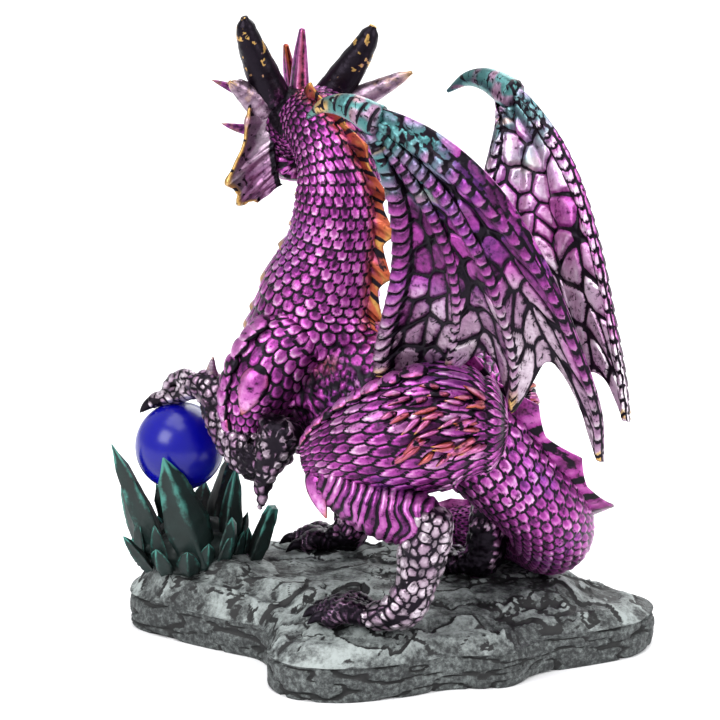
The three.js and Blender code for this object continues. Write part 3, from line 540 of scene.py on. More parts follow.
def trunk_surface():
    """The trunk's sweep, scaled up to the pelvis; from there on domes, coarser on the flank, which
    give way to scales again on the back"""
    p, normal, t, angle, s, girth = sweep(TRUNK, 380, 170)
    height, lip, groove, pick = scales(-scale_rows(s, girth, 24, 0.82), angle / (2 * math.pi), 24)
    small = noise(p / 7, 8) > 0.56
    both = zip(domes(p, 1.8, 6), domes(p, 3.6, 5))
    bump, seam, draw = (np.where(small, fine, coarse) for fine, coarse in both)
    bump = bump * np.where(small, 0.8, 1)
    flank = smooth(t, 0.56, 0.66) * smooth(np.cos(angle), 0.82, 0.5)
    height = blend(height, bump, flank)
    crown = blend(0.1 + 0.42 * height + 0.26 * lip, 0.06 + 0.4 * bump, flank)
    return raised(
        p, normal, (0.1 + 0.7 * smooth(t, 0, 0.3)) * (height - 0.75),
        wash=blend(groove, 0.85 * seam, flank), silver=flank * 0.5 * (draw > 0.8),
        dry=crown + 0.3 * (blend(pick, draw, flank) - 0.5),
        teal=flank * smooth(noise(p / 9, 15), 0.68, 0.8) * 0.8,
        copper=flank * smooth(noise(p / 8, 12), 0.66, 0.9) * 0.35)


# Pearl lacquer on resin: metal flakes under a thin clear layer. Black wash, with painted shadow under the
# lips of the scales, lies in the grooves, and dry-brushed lighter purple, silver, copper, gold and teal catch
# the crowns.
pearl_lacquer, tree = new_material("pearl_lacquer_purple_black_wash")
place = add(tree, "TexCoord").outputs["Object"]
brushing = add(tree, "TexNoise", {"Vector": place, "Scale": 650, "Detail": 5, "Roughness": 0.65})
clouds = add(tree, "TexNoise", {"Vector": place, "Scale": 60, "Detail": 3})
paint_of = {name: add(tree, "Attribute", attribute_name=name).outputs["Fac"]
            for name in ("wash", "dry", "silver", "copper", "gold", "teal")}
# Fine streaks lift the colour: brush texture and painted sparkle of the flakes, with cloudy tone added
brush_sparkle_and_tone = add(tree, "Math", {0: brushing, 1: 0.6, 2: -0.3}, operation="MULTIPLY_ADD")
drift = add(tree, "Math", {0: clouds, 1: 0.4, 2: -0.2}, operation="MULTIPLY_ADD")
brush_sparkle_and_tone = add(tree, "Math", {0: brush_sparkle_and_tone, 1: drift}, operation="ADD")
light = add(tree, "Math", {0: brush_sparkle_and_tone, 1: paint_of["dry"]}, operation="ADD")
purple, grey = (add(tree, "ValToRGB", {"Fac": light}) for _ in range(2))
for node, stops in (
    (purple, ((0, "#1a0a1c"), (0.22, "#52204f"), (0.44, "#933889"), (0.62, "#b563a8"), (0.8, "#d2a0c9"),
              (1, "#eedbea"))),
    (grey, ((0, "#0f0d11"), (0.32, "#4b404b"), (0.62, "#978793"), (1, "#dfd3dd"))),
):
    elements = node.color_ramp.elements
    while len(elements) < len(stops):
        elements.new(0.5)
    for element, (at, code) in zip(elements, stops):
        element.position = at
        element.color = hex_colour(code)
violet = add(tree, "MapRange", {"Value": clouds, "From Min": 0.5, "From Max": 0.7, "To Max": 0.25},
             interpolation_type="SMOOTHSTEP")
skin_colour = add(tree, "Mix", {"Factor": violet, 6: purple, 7: "#5d3b96"}, data_type="RGBA")
for name, coat in (("silver", grey), ("copper", "#a24d2c"), ("gold", "#c09a4e"), ("teal", "#3a7573")):
    skin_colour = add(
        tree, "Mix", {"Factor": paint_of[name], 6: skin_colour.outputs[2], 7: coat}, data_type="RGBA")
speck = add(tree, "MapRange", {"Value": brushing, "From Min": 0.45, "From Max": 0.33, "To Max": 0.75},
            interpolation_type="SMOOTHSTEP")
ragged = add(tree, "Math", {0: brushing, 1: -0.8, 2: 0.4}, operation="MULTIPLY_ADD")
ragged = add(tree, "Math", {0: ragged, 1: paint_of["wash"]}, operation="ADD")
ragged = add(tree, "MapRange", {"Value": ragged, "From Min": 0.26, "From Max": 0.56},
             interpolation_type="SMOOTHSTEP")
black = add(tree, "Math", {0: ragged, 1: speck}, operation="MAXIMUM")
skin_colour = add(tree, "Mix", {"Factor": black, 6: skin_colour.outputs[2], 7: "#17111a"}, data_type="RGBA")
fine = add(tree, "Bump", {"Height": brushing, "Strength": 0.5, "Distance": 0.0003})
paint = add(tree, "BsdfPrincipled", {
    "Base Color": skin_colour.outputs[2], "Metallic": 0.8, "Roughness": 0.33, "Specular IOR Level": 0.3,
    "Normal": fine,
})
add(tree, "OutputMaterial", {"Surface": paint})
piece("dragon_trunk", [trunk_surface()], pearl_lacquer, "dragon")

# The neck rises from the chest in fish-like scales, with broad plates down the throat, and the
# crest is a web drawn out to spines that run along the back.
NECK = [
    (47, 0, 50, 12, 12.5, -1, 0, 0), (45.4, 0, 60, 13.4, 16.4, -1, 0, 0),
    (43.8, 0, 68, 13.6, 16, -1, 0, 0.1), (42.6, 0, 76, 12.4, 13.8, -1, 0, 0.2),
    (39, 0, 87, 10.4, 11, -1, 0, 0.1), (37.6, 0, 98, 9.4, 9.8, -1, 0, 0),
    (39, -1.2, 106, 8.8, 9, -0.9, 0.4, 0.1), (44, -4, 111.5, 8.4, 8.4, -0.6, 0.6, 0.5),
    (50.5, -7.6, 113.4, 8, 7.4, -0.4, 0.6, 0.7),
]
SCUTES = 9
SCUTE_FROM = 0.1
SCUTE_TO = 0.88
CREST_THICKNESS = 1.6
CHEST_AT = (47.5, 0, 57)
CHEST_RADII = (16.2, 13.8, 17)


def plate(front, back, values, back_values=None):
    """Two grids of points, one behind the other, joined along their rims into a closed shell"""
    rows, columns = front.shape[:2]
    index = np.arange(rows * columns).reshape(rows, columns)
    quads = np.stack([index[:-1, :-1], index[:-1, 1:], index[1:, 1:], index[1:, :-1]], -1).reshape(-1, 4)
    rim = np.concatenate([index[0], index[1:, -1], index[-1, -2::-1], index[-2:0:-1, 0]])
    turned = np.roll(rim, -1)
    hem = np.stack([turned, rim, rim + rows * columns, turned + rows * columns], -1)
    faces = np.vstack([quads, (quads + rows * columns)[:, ::-1], hem])
    kept = {}
    for key, value in values.items():
        both = [np.zeros((rows, columns)) + k for k in (value, (back_values or values)[key])]
        kept[key] = np.clip(np.concatenate(both), 0, 1).reshape(-1)
    return shell(np.vstack([front.reshape(-1, 3), back.reshape(-1, 3)]), faces, np.zeros((0, 3), int), kept)


def crest(stations, start, end, spines, rise, copper, seed):
    """A web along the dorsal line: its rim runs up to a swept-back spine and falls between, ribbed,
    thick at the root and thin at the rim, copper along the edge. rise gives the height that the
    spines gain, where on the limb they gain it, where they lose it again and how much of it."""
    share = np.linspace(0, 1, spines * 16 + 1)
    t = blend(start, end, share)
    centre, ahead, up, left, _, height = frames(stations, t)
    phase = share * spines % 1
    peak = (1 - np.abs(2 * phase - 1)) ** 1.35
    gain, low, high, turn, fallen, loss = rise
    reach = 1.6 + gain * smooth(t, low, high) * (1 - loss * smooth(t, turn, fallen))
    reach = reach * (0.35 + 0.65 * peak)
    out = np.linspace(0, 1, 14)[:, None]
    web = (centre + up * (height - 2)[:, None])[None] + up[None] * (out * (reach + 2))[..., None]
    web = web - ahead[None] * (out ** 1.5 * reach * 0.5)[..., None]
    rib = np.abs(2 * phase - 1) < 0.22
    half = CREST_THICKNESS / 2 * (1.4 - 1.1 * out) * (0.7 + 0.6 * rib)
    ripple = 0.5 + 0.5 * np.cos(phase * 6 * math.pi)
    streaks = noise(place_of(share * spines * 7, 0) + (out * 1.5)[..., None], seed)
    fold = smooth(ripple * (0.5 + noise(web / 2, seed + 4)), 0.32, 0.12)
    values = {
        "wash": 0.75 * fold * (1 - rib) + 0.5 * (streaks < 0.2),
        "dry": 0.08 + 0.3 * ripple + 0.25 * streaks + 0.12 * out,
        "copper": copper * smooth(out + 0.5 * streaks, 0.3, 0.8),
        "gold": 0.75 * copper * smooth(0.5 * out + 0.9 * streaks, 0.85, 1.1),
    }
    side = left[None] * half[..., None]
    return plate(on_rock(web + side), on_rock(web - side), values)


def throat():
    """Plates down the throat and chest: a sweep in front of the neck whose size climbs to a lip at
    the lower end of each plate, gold along the lip"""
    centre, _, up, _, width, height = frames(NECK, np.linspace(SCUTE_FROM, SCUTE_TO, 40))
    width, height = width[:, None], height[:, None]
    stations = np.concatenate([centre - 0.28 * height * up, 0.74 * width, 0.79 * height, up], 1)
    p, normal, t, angle, *_ = sweep(stations, 150, 80)
    bow = (1 - (t * SCUTES) % 1 + 0.12 * np.sin(angle) ** 2) % 1
    lip = bow ** 2.2
    return raised(p, normal, 0.9 * (lip - 0.8), wash=0.9 * (smooth(bow, 0.94, 1) + smooth(bow, 0.08, 0)),
                  dry=0.3 + 0.3 * lip, gold=0.85 * smooth(bow, 0.62, 0.9) * smooth(bow, 1, 0.94), silver=0.1)


def chest():
    """The keel of the chest: a ball of three half sizes, scaled like the neck"""
    climb = np.linspace(-0.98, 0.98, 9)
    size = np.sqrt(1 - climb ** 2)
    deep, wide, tall = CHEST_RADII
    places = place_of(CHEST_AT[0], CHEST_AT[1], CHEST_AT[2] + climb * 0.999 * tall)
    stations = np.concatenate([places, place_of(wide * size, deep * size, -1), np.zeros((9, 2))], 1)
    return scaly_limb(stations, 90, 180, 34, 0.85, 0.6, towards=-1)


neck = scaly_limb(NECK, 205, 208, 26, 0.82, 0.75, towards=-1,
                  copper=lambda angle, pick, lip: smooth(np.cos(angle), 0.93, 0.99) * (0.3 + 0.5 * lip))
crests = [crest(TRUNK, 0.12, 0.82, 9, (3.2, 0.14, 0.42, 0.59, 0.73, 1), 0.06, 21),
          crest(NECK, 0.3, 0.97, 8, (3.4, 0.25, 0.5, 0.8, 1, 0.35), 0.95, 22)]
piece("dragon_neck", [neck, throat(), chest()], pearl_lacquer, "dragon")
piece("dragon_crest", crests, pearl_lacquer, "dragon")

# The legs: feathery scales down the thighs, rib-like strokes across the shanks, silver pebbles on
# the insteps and forearms, and black claws that grip the rock and the ball.
LEFT_THIGH = [(-5, 7, 56, 9, 10.5), (2, 12, 56, 11.5, 14), (13, 17, 52, 10.5, 12.5), (23, 19.5, 48, 8, 9),
              (29, 20.5, 45, 5, 5.5)]
LEFT_SHANK = [(29, 20.5, 44.6, 3.4, 3.6), (22, 21.2, 42, 5.8, 6), (12, 20.8, 38, 6.4, 6.6),
              (2, 19.6, 36.5, 5.2, 5.8)]
LEFT_INSTEP = [(0, 19.6, 38, 4.6, 5), (1.6, 19.6, 32, 5.4, 5.8), (3.4, 19.8, 24, 4.8, 4.8),
               (6, 20.8, 17, 5, 4.4), (12.5, 22, 13.8, 5.6, 3)]
RIGHT_THIGH = [(2, -7, 54, 7.5, 9), (6, -12, 53, 9, 11.5), (13, -17, 52, 10.5, 12.5), (23, -19.5, 48, 8, 9),
               (29, -20.5, 45, 5, 5.5)]
RIGHT_SHANK = [(30, -20.5, 44, 3.6, 4), (24, -20.5, 41, 6.2, 6.4), (16, -19.5, 38, 6, 6.4),
               (8, -18.5, 36.5, 5, 5.6)]
RIGHT_INSTEP = [(6.5, -18.5, 38, 4.4, 4.8), (8, -18, 32, 5, 5.4), (8.5, -16, 25, 4.6, 4.6),
                (9, -14.5, 18.5, 4.8, 4.4), (12, -13.2, 15.8, 5, 3)]
LEFT_UPPER_ARM = [(42, 9, 68, 8, 8), (47, 12.5, 62, 8.6, 9), (51, 14.2, 53, 6.8, 7), (51.5, 15, 45, 3.4, 3.6)]
LEFT_FOREARM = [(42.5, 15.5, 45.5, 4.4, 4.6), (49, 16, 42.5, 4.9, 5.8), (55.5, 15.6, 48, 4.6, 5.6),
                (61.5, 15, 55, 4, 4), (65.5, 14.4, 55.6, 4, 2.8)]
LEFT_ELBOW_SPUR = [(41, 17, 50), (44.5, 18, 40.5), (47, 16.8, 30.8)]
RIGHT_UPPER_ARM = [(42, -9, 66, 8, 8), (42, -13, 58, 8, 8.4), (39, -15.5, 48, 6, 6.4),
                   (37, -16, 41, 4.4, 4.6)]
RIGHT_FOREARM = [(36, -16, 42, 4.2, 4.4), (40, -15.5, 34, 5, 5.2), (43.5, -14, 25, 4.2, 4.4),
                 (43.5, -12.6, 18.5, 4.2, 4), (46.5, -11, 15.8, 4.8, 2.8)]
KNUCKLE = (66, 14.4, 54.4)
CLAW_LENGTH = 4.2
ARM_DORSAL = (1, 0, 0)
INSTEP_DORSAL = (1, 0, 0.2)
NO_GOLD = 2


def ribbed_limb(stations, rows, around, stroke, depth, silver=0.1, dark=0):
    """A limb crossed by curved strokes: rounded ribs a stroke apart, swept along the limb as they
    go round it, with black between them"""
    p, normal, _, angle, s, _ = sweep(stations, rows, around)
    phase = s / stroke + 1.5 * np.cos(angle) ** 2 + 1.1 * noise(p / 4, 41)
    broken = smooth(noise(place_of(s / stroke / 2, 2 * np.cos(angle), 2 * np.sin(angle)), 43), 0.3, 0.5)
    rib = np.abs(np.sin(math.pi * phase)) ** 0.7 * (0.7 + 0.3 * broken)
    pick = drawn(place_of(np.floor(phase), 0).astype(np.int64), 9)
    return raised(p, normal, depth * (rib - 0.75), wash=smooth(rib, 0.55, 0.3) + dark, silver=silver,
                  dry=0.06 + 0.5 * rib + 0.3 * (pick - 0.5) - 0.5 * dark)


def tapered(points, root, flat=1, tip=0.12):
    """Stations of a horn or claw, whose radius falls from the root's to a share of it"""
    share = np.linspace(0, 1, len(points))[:, None]
    radius = root * (1 - (1 - tip) * share ** 1.2)
    return np.concatenate([np.array(points, float), radius * flat, radius], 1)


def claw_horn(stations, rows, around, place=on_rock, gold_from=NO_GOLD, rings=9, base=0.9, silver=0.5,
              gild=0.3):
    """A black horn with fine growth rings, bright along the ridges and rounded at the end, its tip
    brushed with gold, and a painted grey sheen towards its root"""
    p, normal, t, angle, _, girth = sweep(stations, rows, around)
    ring = np.abs(np.sin(math.pi * t * rings + 0.6 * np.cos(angle)))
    height = 0.04 * (ring ** 0.5 - 0.6) + 0.1 * (layered(p / 2.2, 3, 35) - 0.6) - 0.5 * smooth(t, 0.8, 1) ** 2
    tip = smooth(t, gold_from, gold_from + 0.28)
    streak = noise(place_of(4 * np.cos(angle), 4 * np.sin(angle), t * 2), 33)
    patch = gild * smooth(layered(p / 1.3, 3, 37) + 0.14 * t, 0.68, 0.76) * smooth(t, 0.05, 0.4)
    wash = base * (1 - tip) * (1 - 0.35 * smooth(streak, 0.5, 0.8)) * (1 - patch)
    # Half as much black towards the root, so the silver shows there: a painted grey sheen
    wash = wash * (0.5 + 0.5 * smooth(t + 0.3 * streak, 0.1, 0.5))
    return raised(p, normal, girth * height, place, wash=wash,
                  dry=0.22 + 0.3 * ring * streak + 0.22 * (silver > 0.6), silver=silver,
                  gold=0.9 * tip * smooth(streak, 0.25, 0.6) + patch)


def toe_parts(start, end, radius):
    """A toe in knuckled rings from the foot to the ground, and the black claw at its end"""
    ahead = unit(end - start)
    arch = blend(start, end, 0.55) + (0, 0, 0.55 * radius)
    sizes = radius * np.array([(1, 1), (1.05, 1.05), (0.95, 0.9), (0.62, 0.7), (0.46, 0.5), (0.12, 0.12)])
    root, tip = end - ahead * 0.6, end + ahead * CLAW_LENGTH + (0, 0, -0.9)
    middle = end + ahead * 0.45 * CLAW_LENGTH + (0, 0, 0.5)
    stations = np.concatenate([[start, arch, end, root, middle, tip], sizes], 1)
    toe = ribbed_limb(stations[:3], 34, 28, 1.5, 0.45, silver=0.8, dark=0.4)
    return [toe, claw_horn(stations[3:], 18, 14)]


def foot(centre, heading, reach, spread, radius, dip, count):
    """Toes that fan out evenly from the ball of a foot"""
    made = []
    ground = ROCK_TOP - PELVIS[2] + dip + radius * 0.75
    for share in np.linspace(-0.5, 0.5, count):
        angle, inner = (math.radians(heading + spread * share * k) for k in (2, 2.6))
        length = reach * (1 - 0.5 * share * share)
        start = np.array(centre) + (2.4 * math.cos(inner), 2.6 * math.sin(inner), 0)
        end = (centre[0] + length * math.cos(angle), centre[1] + length * math.sin(angle), ground)
        made += toe_parts(start, np.array(end), radius)
    return made


def paw():
    """Three fingers that lie over the ball from the knuckle, their claws hooked down its far side,
    and the spur of the wrist"""
    x, y, z = ORB_AT - PELVIS
    c, s = math.cos(BODY_YAW), math.sin(BODY_YAW)
    middle = np.array((c * x + s * y, -s * x + c * y, z))
    spur = tapered([(61.5, 14.6, 57), (61.6, 14.8, 59.4), (61, 15, 62.6)], 2)
    made = []
    for side, brush_sparkle_and_tone, rise in ((-22, 62, 0), (20, 66, 3.4), (52, 62, 2.2)):
        turn = math.radians(side)
        climbs = np.radians(brush_sparkle_and_tone + np.array((22, 12, -4, -1, -12, -24)))
        over = place_of(np.cos(climbs) * math.cos(turn), -np.cos(climbs) * math.sin(turn), np.sin(climbs))
        over = middle + (ORB_RADIUS + 1.7) * over
        arch, bend = blend(KNUCKLE, over[0], 0.6) + (0, 0, rise), over[1] + (0, 0, 0.8 * rise)
        sizes = [(2.2, 2.2), (2.2, 2.1), (2, 1.9), (1.7, 1.7), (1.3, 1.5), (0.9, 1.1), (0.25, 0.25)]
        stations = np.concatenate([[KNUCKLE, arch, bend, *over[2:]], sizes], 1)
        made += [pebbled_limb(stations[:4], 44, 30, 2.2, 0.25, seed=68, bright=0.2),
                 claw_horn(stations[4:], 20, 14)]
    return made + [claw_horn(spur, 24, 16, base=0.2, silver=0.9)]


def leaf(root, tip, width, thick, dorsal, edge="copper", silver=0.05, body=0):
    """A single long scale that lies on the skin: broadest at a third of its length, its middle
    bowed up, its rim brushed with a metal colour"""
    root, tip, dorsal = np.array(root, float), np.array(tip, float), np.array(dorsal, float)
    share = np.array((0, 0.18, 0.38, 0.6, 0.8, 1))[:, None]
    half = width / 2 * np.array((0.35, 0.85, 1, 0.82, 0.5, 0.08))[:, None]
    middle = blend(root, tip, share) + dorsal * 0.4 * thick * np.sin(math.pi * share)
    stations = np.concatenate([middle, half, thick * half / half.max() + 0.1], 1)
    p, _, t, angle, *_ = sweep(stations, 14, 12, dorsal)
    mottle = noise(p / 1.6, 47)
    rim = np.abs(np.sin(angle)) ** 8 + smooth(t, 0.8, 1)
    look = {
        "gold": 0.8 * (body > 0) * smooth(t, 0.75, 1) * smooth(mottle, 0.5, 0.7), "silver": silver,
        "wash": 0.95 * (np.cos(angle) < 0.1) + 0.6 * (mottle < 0.3) + 0.9 * smooth(t, 0.25, 0.02),
        "dry": 0.25 + 0.35 * t + 0.3 * mottle,
        edge: np.clip(0.9 * rim + body, 0, 1) * smooth(mottle, 0.1, 0.45),
    }
    return tube(on_rock(p), **look)


def lying(stations, t, angle, reach, width, thick, dorsal=(0, 0, 1), slant=0, brush_sparkle_and_tone=0.5, **look):
    """A leaf placed on a limb: rooted at t and an angle round it, its tip reach further on"""
    t = np.array([t, min(t + 0.08, 1)])
    centre, ahead, up, left, half_width, half_height = frames(stations, t, dorsal)
    c, s = math.cos(angle), math.sin(angle)
    out = unit(up * c + left * s)[0]
    skin_at = centre + up * (c * half_height)[:, None] + left * (s * half_width)[:, None]
    way = unit(unit(skin_at[1] - skin_at[0]) + slant * np.cross(out, ahead[0]))
    root = skin_at[0] - out * 0.5
    return leaf(root, root + way * reach + out * brush_sparkle_and_tone, width, thick, out, **look)


def thigh_leaves(stations, sign):
    """Large plates along the thigh's top edge, one long drop at the knee and tufts like flames at
    the hip"""
    made = [lying(stations, 0.26 + 0.08 * k, sign * 0.3, 7 - 0.3 * k, 5.6 - 0.35 * k, 1.1)
            for k in range(9)]
    rng = np.random.default_rng(12)
    for k in range(44):
        t, turn = 0.38 * (k + rng.uniform(0, 1)) / 44, rng.uniform(0.7, 1.8)
        made.append(lying(stations, t, sign * turn, rng.uniform(4, 6), rng.uniform(1.1, 1.7), 1.1, silver=0.1,
                          slant=rng.uniform(-0.1, 0.7) * sign, brush_sparkle_and_tone=1.7, body=rng.uniform(0.1, 0.8)))
    return made + [leaf((28, 24 * sign, 45.5), (23, 25.6 * sign, 35), 5.2, 1.2, (0, sign, 0.1))]


hind = [
    scaly_limb(LEFT_THIGH, 130, 180, 30, 1.8, 0.8, shape=1.4,
               silver=lambda angle, pick, lip: 0.3 * (pick > 0.8)),
    ribbed_limb(LEFT_SHANK, 110, 90, 2.0, 0.7),
    pebbled_limb(LEFT_INSTEP, 100, 90, 2.5, 0.6, INSTEP_DORSAL, seed=61, silver=1.05, bright=0.15),
    scaly_limb(RIGHT_THIGH, 80, 110, 26, 1.8, 0.8, shape=1.4),
    ribbed_limb(RIGHT_SHANK, 64, 60, 2.4, 0.7, dark=0.2),
    pebbled_limb(RIGHT_INSTEP, 64, 60, 2.0, 0.6, INSTEP_DORSAL, seed=62, silver=0.7, dark=0.35),
    *foot((12, 22.2, 14.4), 14, 12.5, 26, 2.5, -ROCK_DIP, 4),
    *foot((12, -13.4, 16.2), 6, 8.5, 26, 2.3, 0, 3),
    *thigh_leaves(LEFT_THIGH, 1), *thigh_leaves(RIGHT_THIGH, -1),
]
piece("dragon_hind_legs", hind, pearl_lacquer, "dragon")
arm_plates = [lying(LEFT_UPPER_ARM, 0.06 + 0.1 * k, 1.0, 6.2, 7.4 - 0.5 * k, 1.2, ARM_DORSAL,
                    edge="silver" if k < 7 else "copper") for k in range(9)]
arm_plates.append(lying(LEFT_UPPER_ARM, 0.3, 1.95, 12, 7, 1.6, ARM_DORSAL, brush_sparkle_and_tone=0))
elbow = tapered(LEFT_ELBOW_SPUR, 5.6, 0.8)
fore = [
    scaly_limb(LEFT_UPPER_ARM, 90, 130, 17, 1.0, 0.6, ARM_DORSAL),
    pebbled_limb(LEFT_FOREARM, 110, 100, 2.1, 0.6, (0, -0.2, 1), seed=63, silver=0.85, dark=0.26),
    pebbled_limb(elbow, 64, 56, 2.3, 0.5, ARM_DORSAL, seed=66, silver=0.85, dark=0.18),
    scaly_limb(RIGHT_UPPER_ARM, 70, 90, 17, 1.0, 0.6, ARM_DORSAL),
    pebbled_limb(RIGHT_FOREARM, 80, 70, 1.9, 0.5, ARM_DORSAL, seed=64, silver=0.6, dark=0.4),
    *foot((46, -11.4, 16.2), 26, 9.5, 28, 2.3, 0, 3), *paw(), *arm_plates,
]
piece("dragon_fore_legs", fore, pearl_lacquer, "dragon")

# The head: a long skull and jaw, back-swept black horns, a crest of spines down the brow, and a
# frill at each cheek, its thin hollow skin stretched between ribs and gilded along its rim.
HEAD_AT = np.array((53.5, -6.8, 109))
HEAD_TURN = tuple(math.radians(k) for k in (5, 6, -48))
SKULL = [(-5, 0, 2, 5, 5.5), (0, 0, 2.4, 8, 8.6), (7, 0, 2.2, 8.8, 8.2), (13, 0, 1, 7.6, 6.6),
         (19, 0, -1, 5.6, 4.9), (25, 0, -2.4, 4.8, 4), (30, 0, -3, 4, 3.4)]
JAW = [(0, 0, -5.5, 5.6, 4.4), (8, 0, -7.6, 5.2, 3), (16, 0, -8.2, 4.4, 2.2), (23, 0, -8, 3.6, 1.9),
       (27.5, 0, -7.4, 2.4, 1.5)]
FRILL_ROOT = [(-1, 4.4, 9), (-1.8, 5.2, 4), (-2.2, 5.2, -2), (-2.2, 4.4, -7), (-1.4, 3.4, -11)]
FRILL_RIM = [(-3, 14.2, 12), (-3.6, 12, 3), (-5.4, 15.6, -10.6), (-3, 12.4, -15.6), (0, 8, -15)]
LOWER_HORN_LEFT = [(1, 8, 6), (-1.6, 12.4, 9), (-4.5, 16.4, 11.4)]
LOWER_HORN_RIGHT = [(1, 8, 6), (-2, 15.6, 11.2), (-5.4, 23.4, 16.2)]
FRILL_THICKNESS = 1.3
FRILL_HOLLOW = 2
EYE_AT = (13.4, 6, 3.6)


def on_neck(p):
    """From the head's own frame, +X to the snout, rolled, pitched and turned on to the nape"""
    roll, pitch, yaw = HEAD_TURN
    x, y, z = p[..., 0], p[..., 1], p[..., 2]
    y, z = math.cos(roll) * y - math.sin(roll) * z, math.sin(roll) * y + math.cos(roll) * z
    x, z = math.cos(pitch) * x + math.sin(pitch) * z, -math.sin(pitch) * x + math.cos(pitch) * z
    x, y = math.cos(yaw) * x - math.sin(yaw) * y, math.sin(yaw) * x + math.cos(yaw) * y
    return on_rock(place_of(x, y, z) + HEAD_AT)


def head_limb(stations, rows, around, size, depth, seed, columns=0):
    """A limb of the head in small domes, or in scales where columns are given"""
    p, normal, _, angle, s, girth = sweep(stations, rows, around)
    if columns:
        rows_along = -scale_rows(s, girth, columns, 0.85)
        height, lip, groove, pick = scales(rows_along, angle / (2 * math.pi), columns)
    else:
        height, groove, pick = domes(p, size, seed)
        lip = height
    nape = smooth(noise(p / 6, 97) + 0.05 * p[..., 2] - 0.03 * p[..., 0], 0.55, 0.8)
    return raised(p, normal, depth * (height - 0.7), on_neck, wash=np.maximum(groove, 0.9 * nape),
                  dry=0.05 + 0.42 * height + 0.3 * lip + 0.2 * (pick - 0.5), silver=0.3 * (pick > 0.8))


def frill(sign):
    """A sheet between the cheek and a scalloped rim, hollow behind, with five ribs that run out to
    its points: grey-pink skin speckled with black, gold along the rim"""
    way = np.linspace(0, 1, 105)
    out = np.linspace(0, 1, 36)[:, None]
    root, rim = along(FRILL_ROOT, way), along(FRILL_RIM, way)
    ribs = np.abs((way * 4 + 0.5) % 1 - 0.5) * 2
    scallop = 1 - 0.14 * smooth(ribs, 0, 0.75) * smooth(out, 0.3, 1)
    p = root[None] + (rim - root)[None] * (out * scallop)[..., None]
    p[..., 0] += FRILL_HOLLOW * np.sin(math.pi * out)
    p[..., 1] *= sign
    rib = smooth(ribs, 0.3, 0.08)
    edge = smooth(out, 0.88, 0.98)
    half = FRILL_THICKNESS / 2 * (0.55 + 0.9 * rib) * (1 - 0.5 * out) + 0.12 * edge
    folds = 0.5 + 0.5 * np.cos(ribs * 9 + 3 * noise(p / 5, 91))
    speckle = noise(p / 1.1, 92) > 0.68
    normal = grid_normals(p, closed=False)
    p = p + normal * (0.25 * folds * (1 - rib))[..., None]
    values = {
        "dry": 0.46 + 0.06 * folds + 0.12 * rib, "silver": 0.95 - 0.35 * smooth(noise(p / 5, 93), 0.35, 0.7),
        "gold": 0.85 * edge * smooth(noise(p / 3, 94), 0.25, 0.6),
        "wash": 0.75 * speckle * smooth(out, 0.4, 0.8) + 0.85 * smooth(out, 0.2, 0.02),
    }
    return plate(on_neck(p + normal * half[..., None]), on_neck(p - normal * half[..., None]), values)


def head_side(sign):
    """One side of the head: frill, horns, cheek spikes, brow and teeth"""
    flip = (1, sign, 1)
    made = [frill(sign)]
    for points, root, flat, tip, rows, around, silver in (
        ([(1, 6, 8), (-1.6, 10, 15.5), (-3.5, 12.8, 21.2), (-5, 14.2, 25.8)], 4.2, 0.95, 0.4, 90, 44, 0.6),
        (LOWER_HORN_LEFT if sign > 0 else LOWER_HORN_RIGHT, 3.6, 1, 0.25, 60, 30, 0.9),
        ([(5, 8, 7), (4.4, 15, 9.5), (4, 19.6, 11)], 1.6, 1, 0.12, 36, 20, 0.2),
        ([(6, 7.6, 0), (5.8, 12.8, 0.6), (5.2, 16.6, 1.4)], 1.6, 1, 0.12, 36, 20, 0.2),
        ([(8, 5.6, 6), (4, 7.4, 10), (1, 8.2, 13)], 2, 1, 0.12, 36, 22, 0.2),
    ):
        main = len(points) == 4
        made.append(claw_horn(tapered(np.array(points) * flip, root, flat, tip), rows, around, on_neck,
                              gold_from=0.94 if main else 0.8, rings=5, base=1 if main else 0.15,
                              silver=silver, gild=0.9 if main else 0.2))
    brow = [(7, 6.4 * sign, 5.6, 1.8, 1.4), (12, 7.4 * sign, 6.8, 2, 1.6), (18, 4.6 * sign, 4.6, 1.2, 1)]
    made.append(head_limb(brow, 40, 26, 1.1, 0.3, 71))
    for k in range(9):
        root = np.array((10 + 2.1 * k, (5.6 - 0.16 * k) * sign, -3.6 + 0.1 * k))
        tooth = tapered([root, root + (0.3, 0, -1.4), root + (0.2, 0, -2.4 + 0.1 * k)], 0.75)
        made.append(claw_horn(tooth, 10, 8, on_neck, rings=1, base=0, silver=1))
    return made


def eye(sign):
    """A golden eye with an upright slit, black round the iris"""
    p = ball((EYE_AT[0], sign * EYE_AT[1], EYE_AT[2]), (2.6, 1.9, 2.1), 32, 20)
    across = p[..., 0] - EYE_AT[0] - 0.4
    gold = smooth(np.hypot(across, p[..., 2] - EYE_AT[2]), 1.3, 1.1) * smooth(np.abs(across), 0.18, 0.32)
    return tube(on_neck(p), gold=gold, wash=1 - gold, dry=0.6)


def brow_spine(k):
    """A spine of the brow, fluted, copper along its edges; k counts them forwards"""
    reach, lean = ((13, 0.8), (11, 3.6), (4.6, 0))[k]
    x, top = 2 + 5 * k, 10.4 - 1.9 * k
    points = [(x, 0, top - 2), (x - 0.6, 0.6 * lean, top + 0.5 * reach), (x - 2.4, lean, top + reach)]
    p, normal, t, angle, _, girth = sweep(tapered(points, 3.2 - 0.4 * k, 0.7, 0.3), 50, 30, (1, 0, 0))
    flute = 0.5 + 0.5 * np.cos(5 * angle + 2 * noise(p / 4, 95))
    edges = np.abs(np.cos(angle)) ** 6 * (0.6 if k == 0 else 1) + 0.8 * smooth(t, 0.6, 1) * (k > 0)
    return raised(p, normal, 0.096 * flute * girth, on_neck, dry=0.3 + 0.35 * flute, wash=0.5 * (1 - flute),
                  copper=edges)


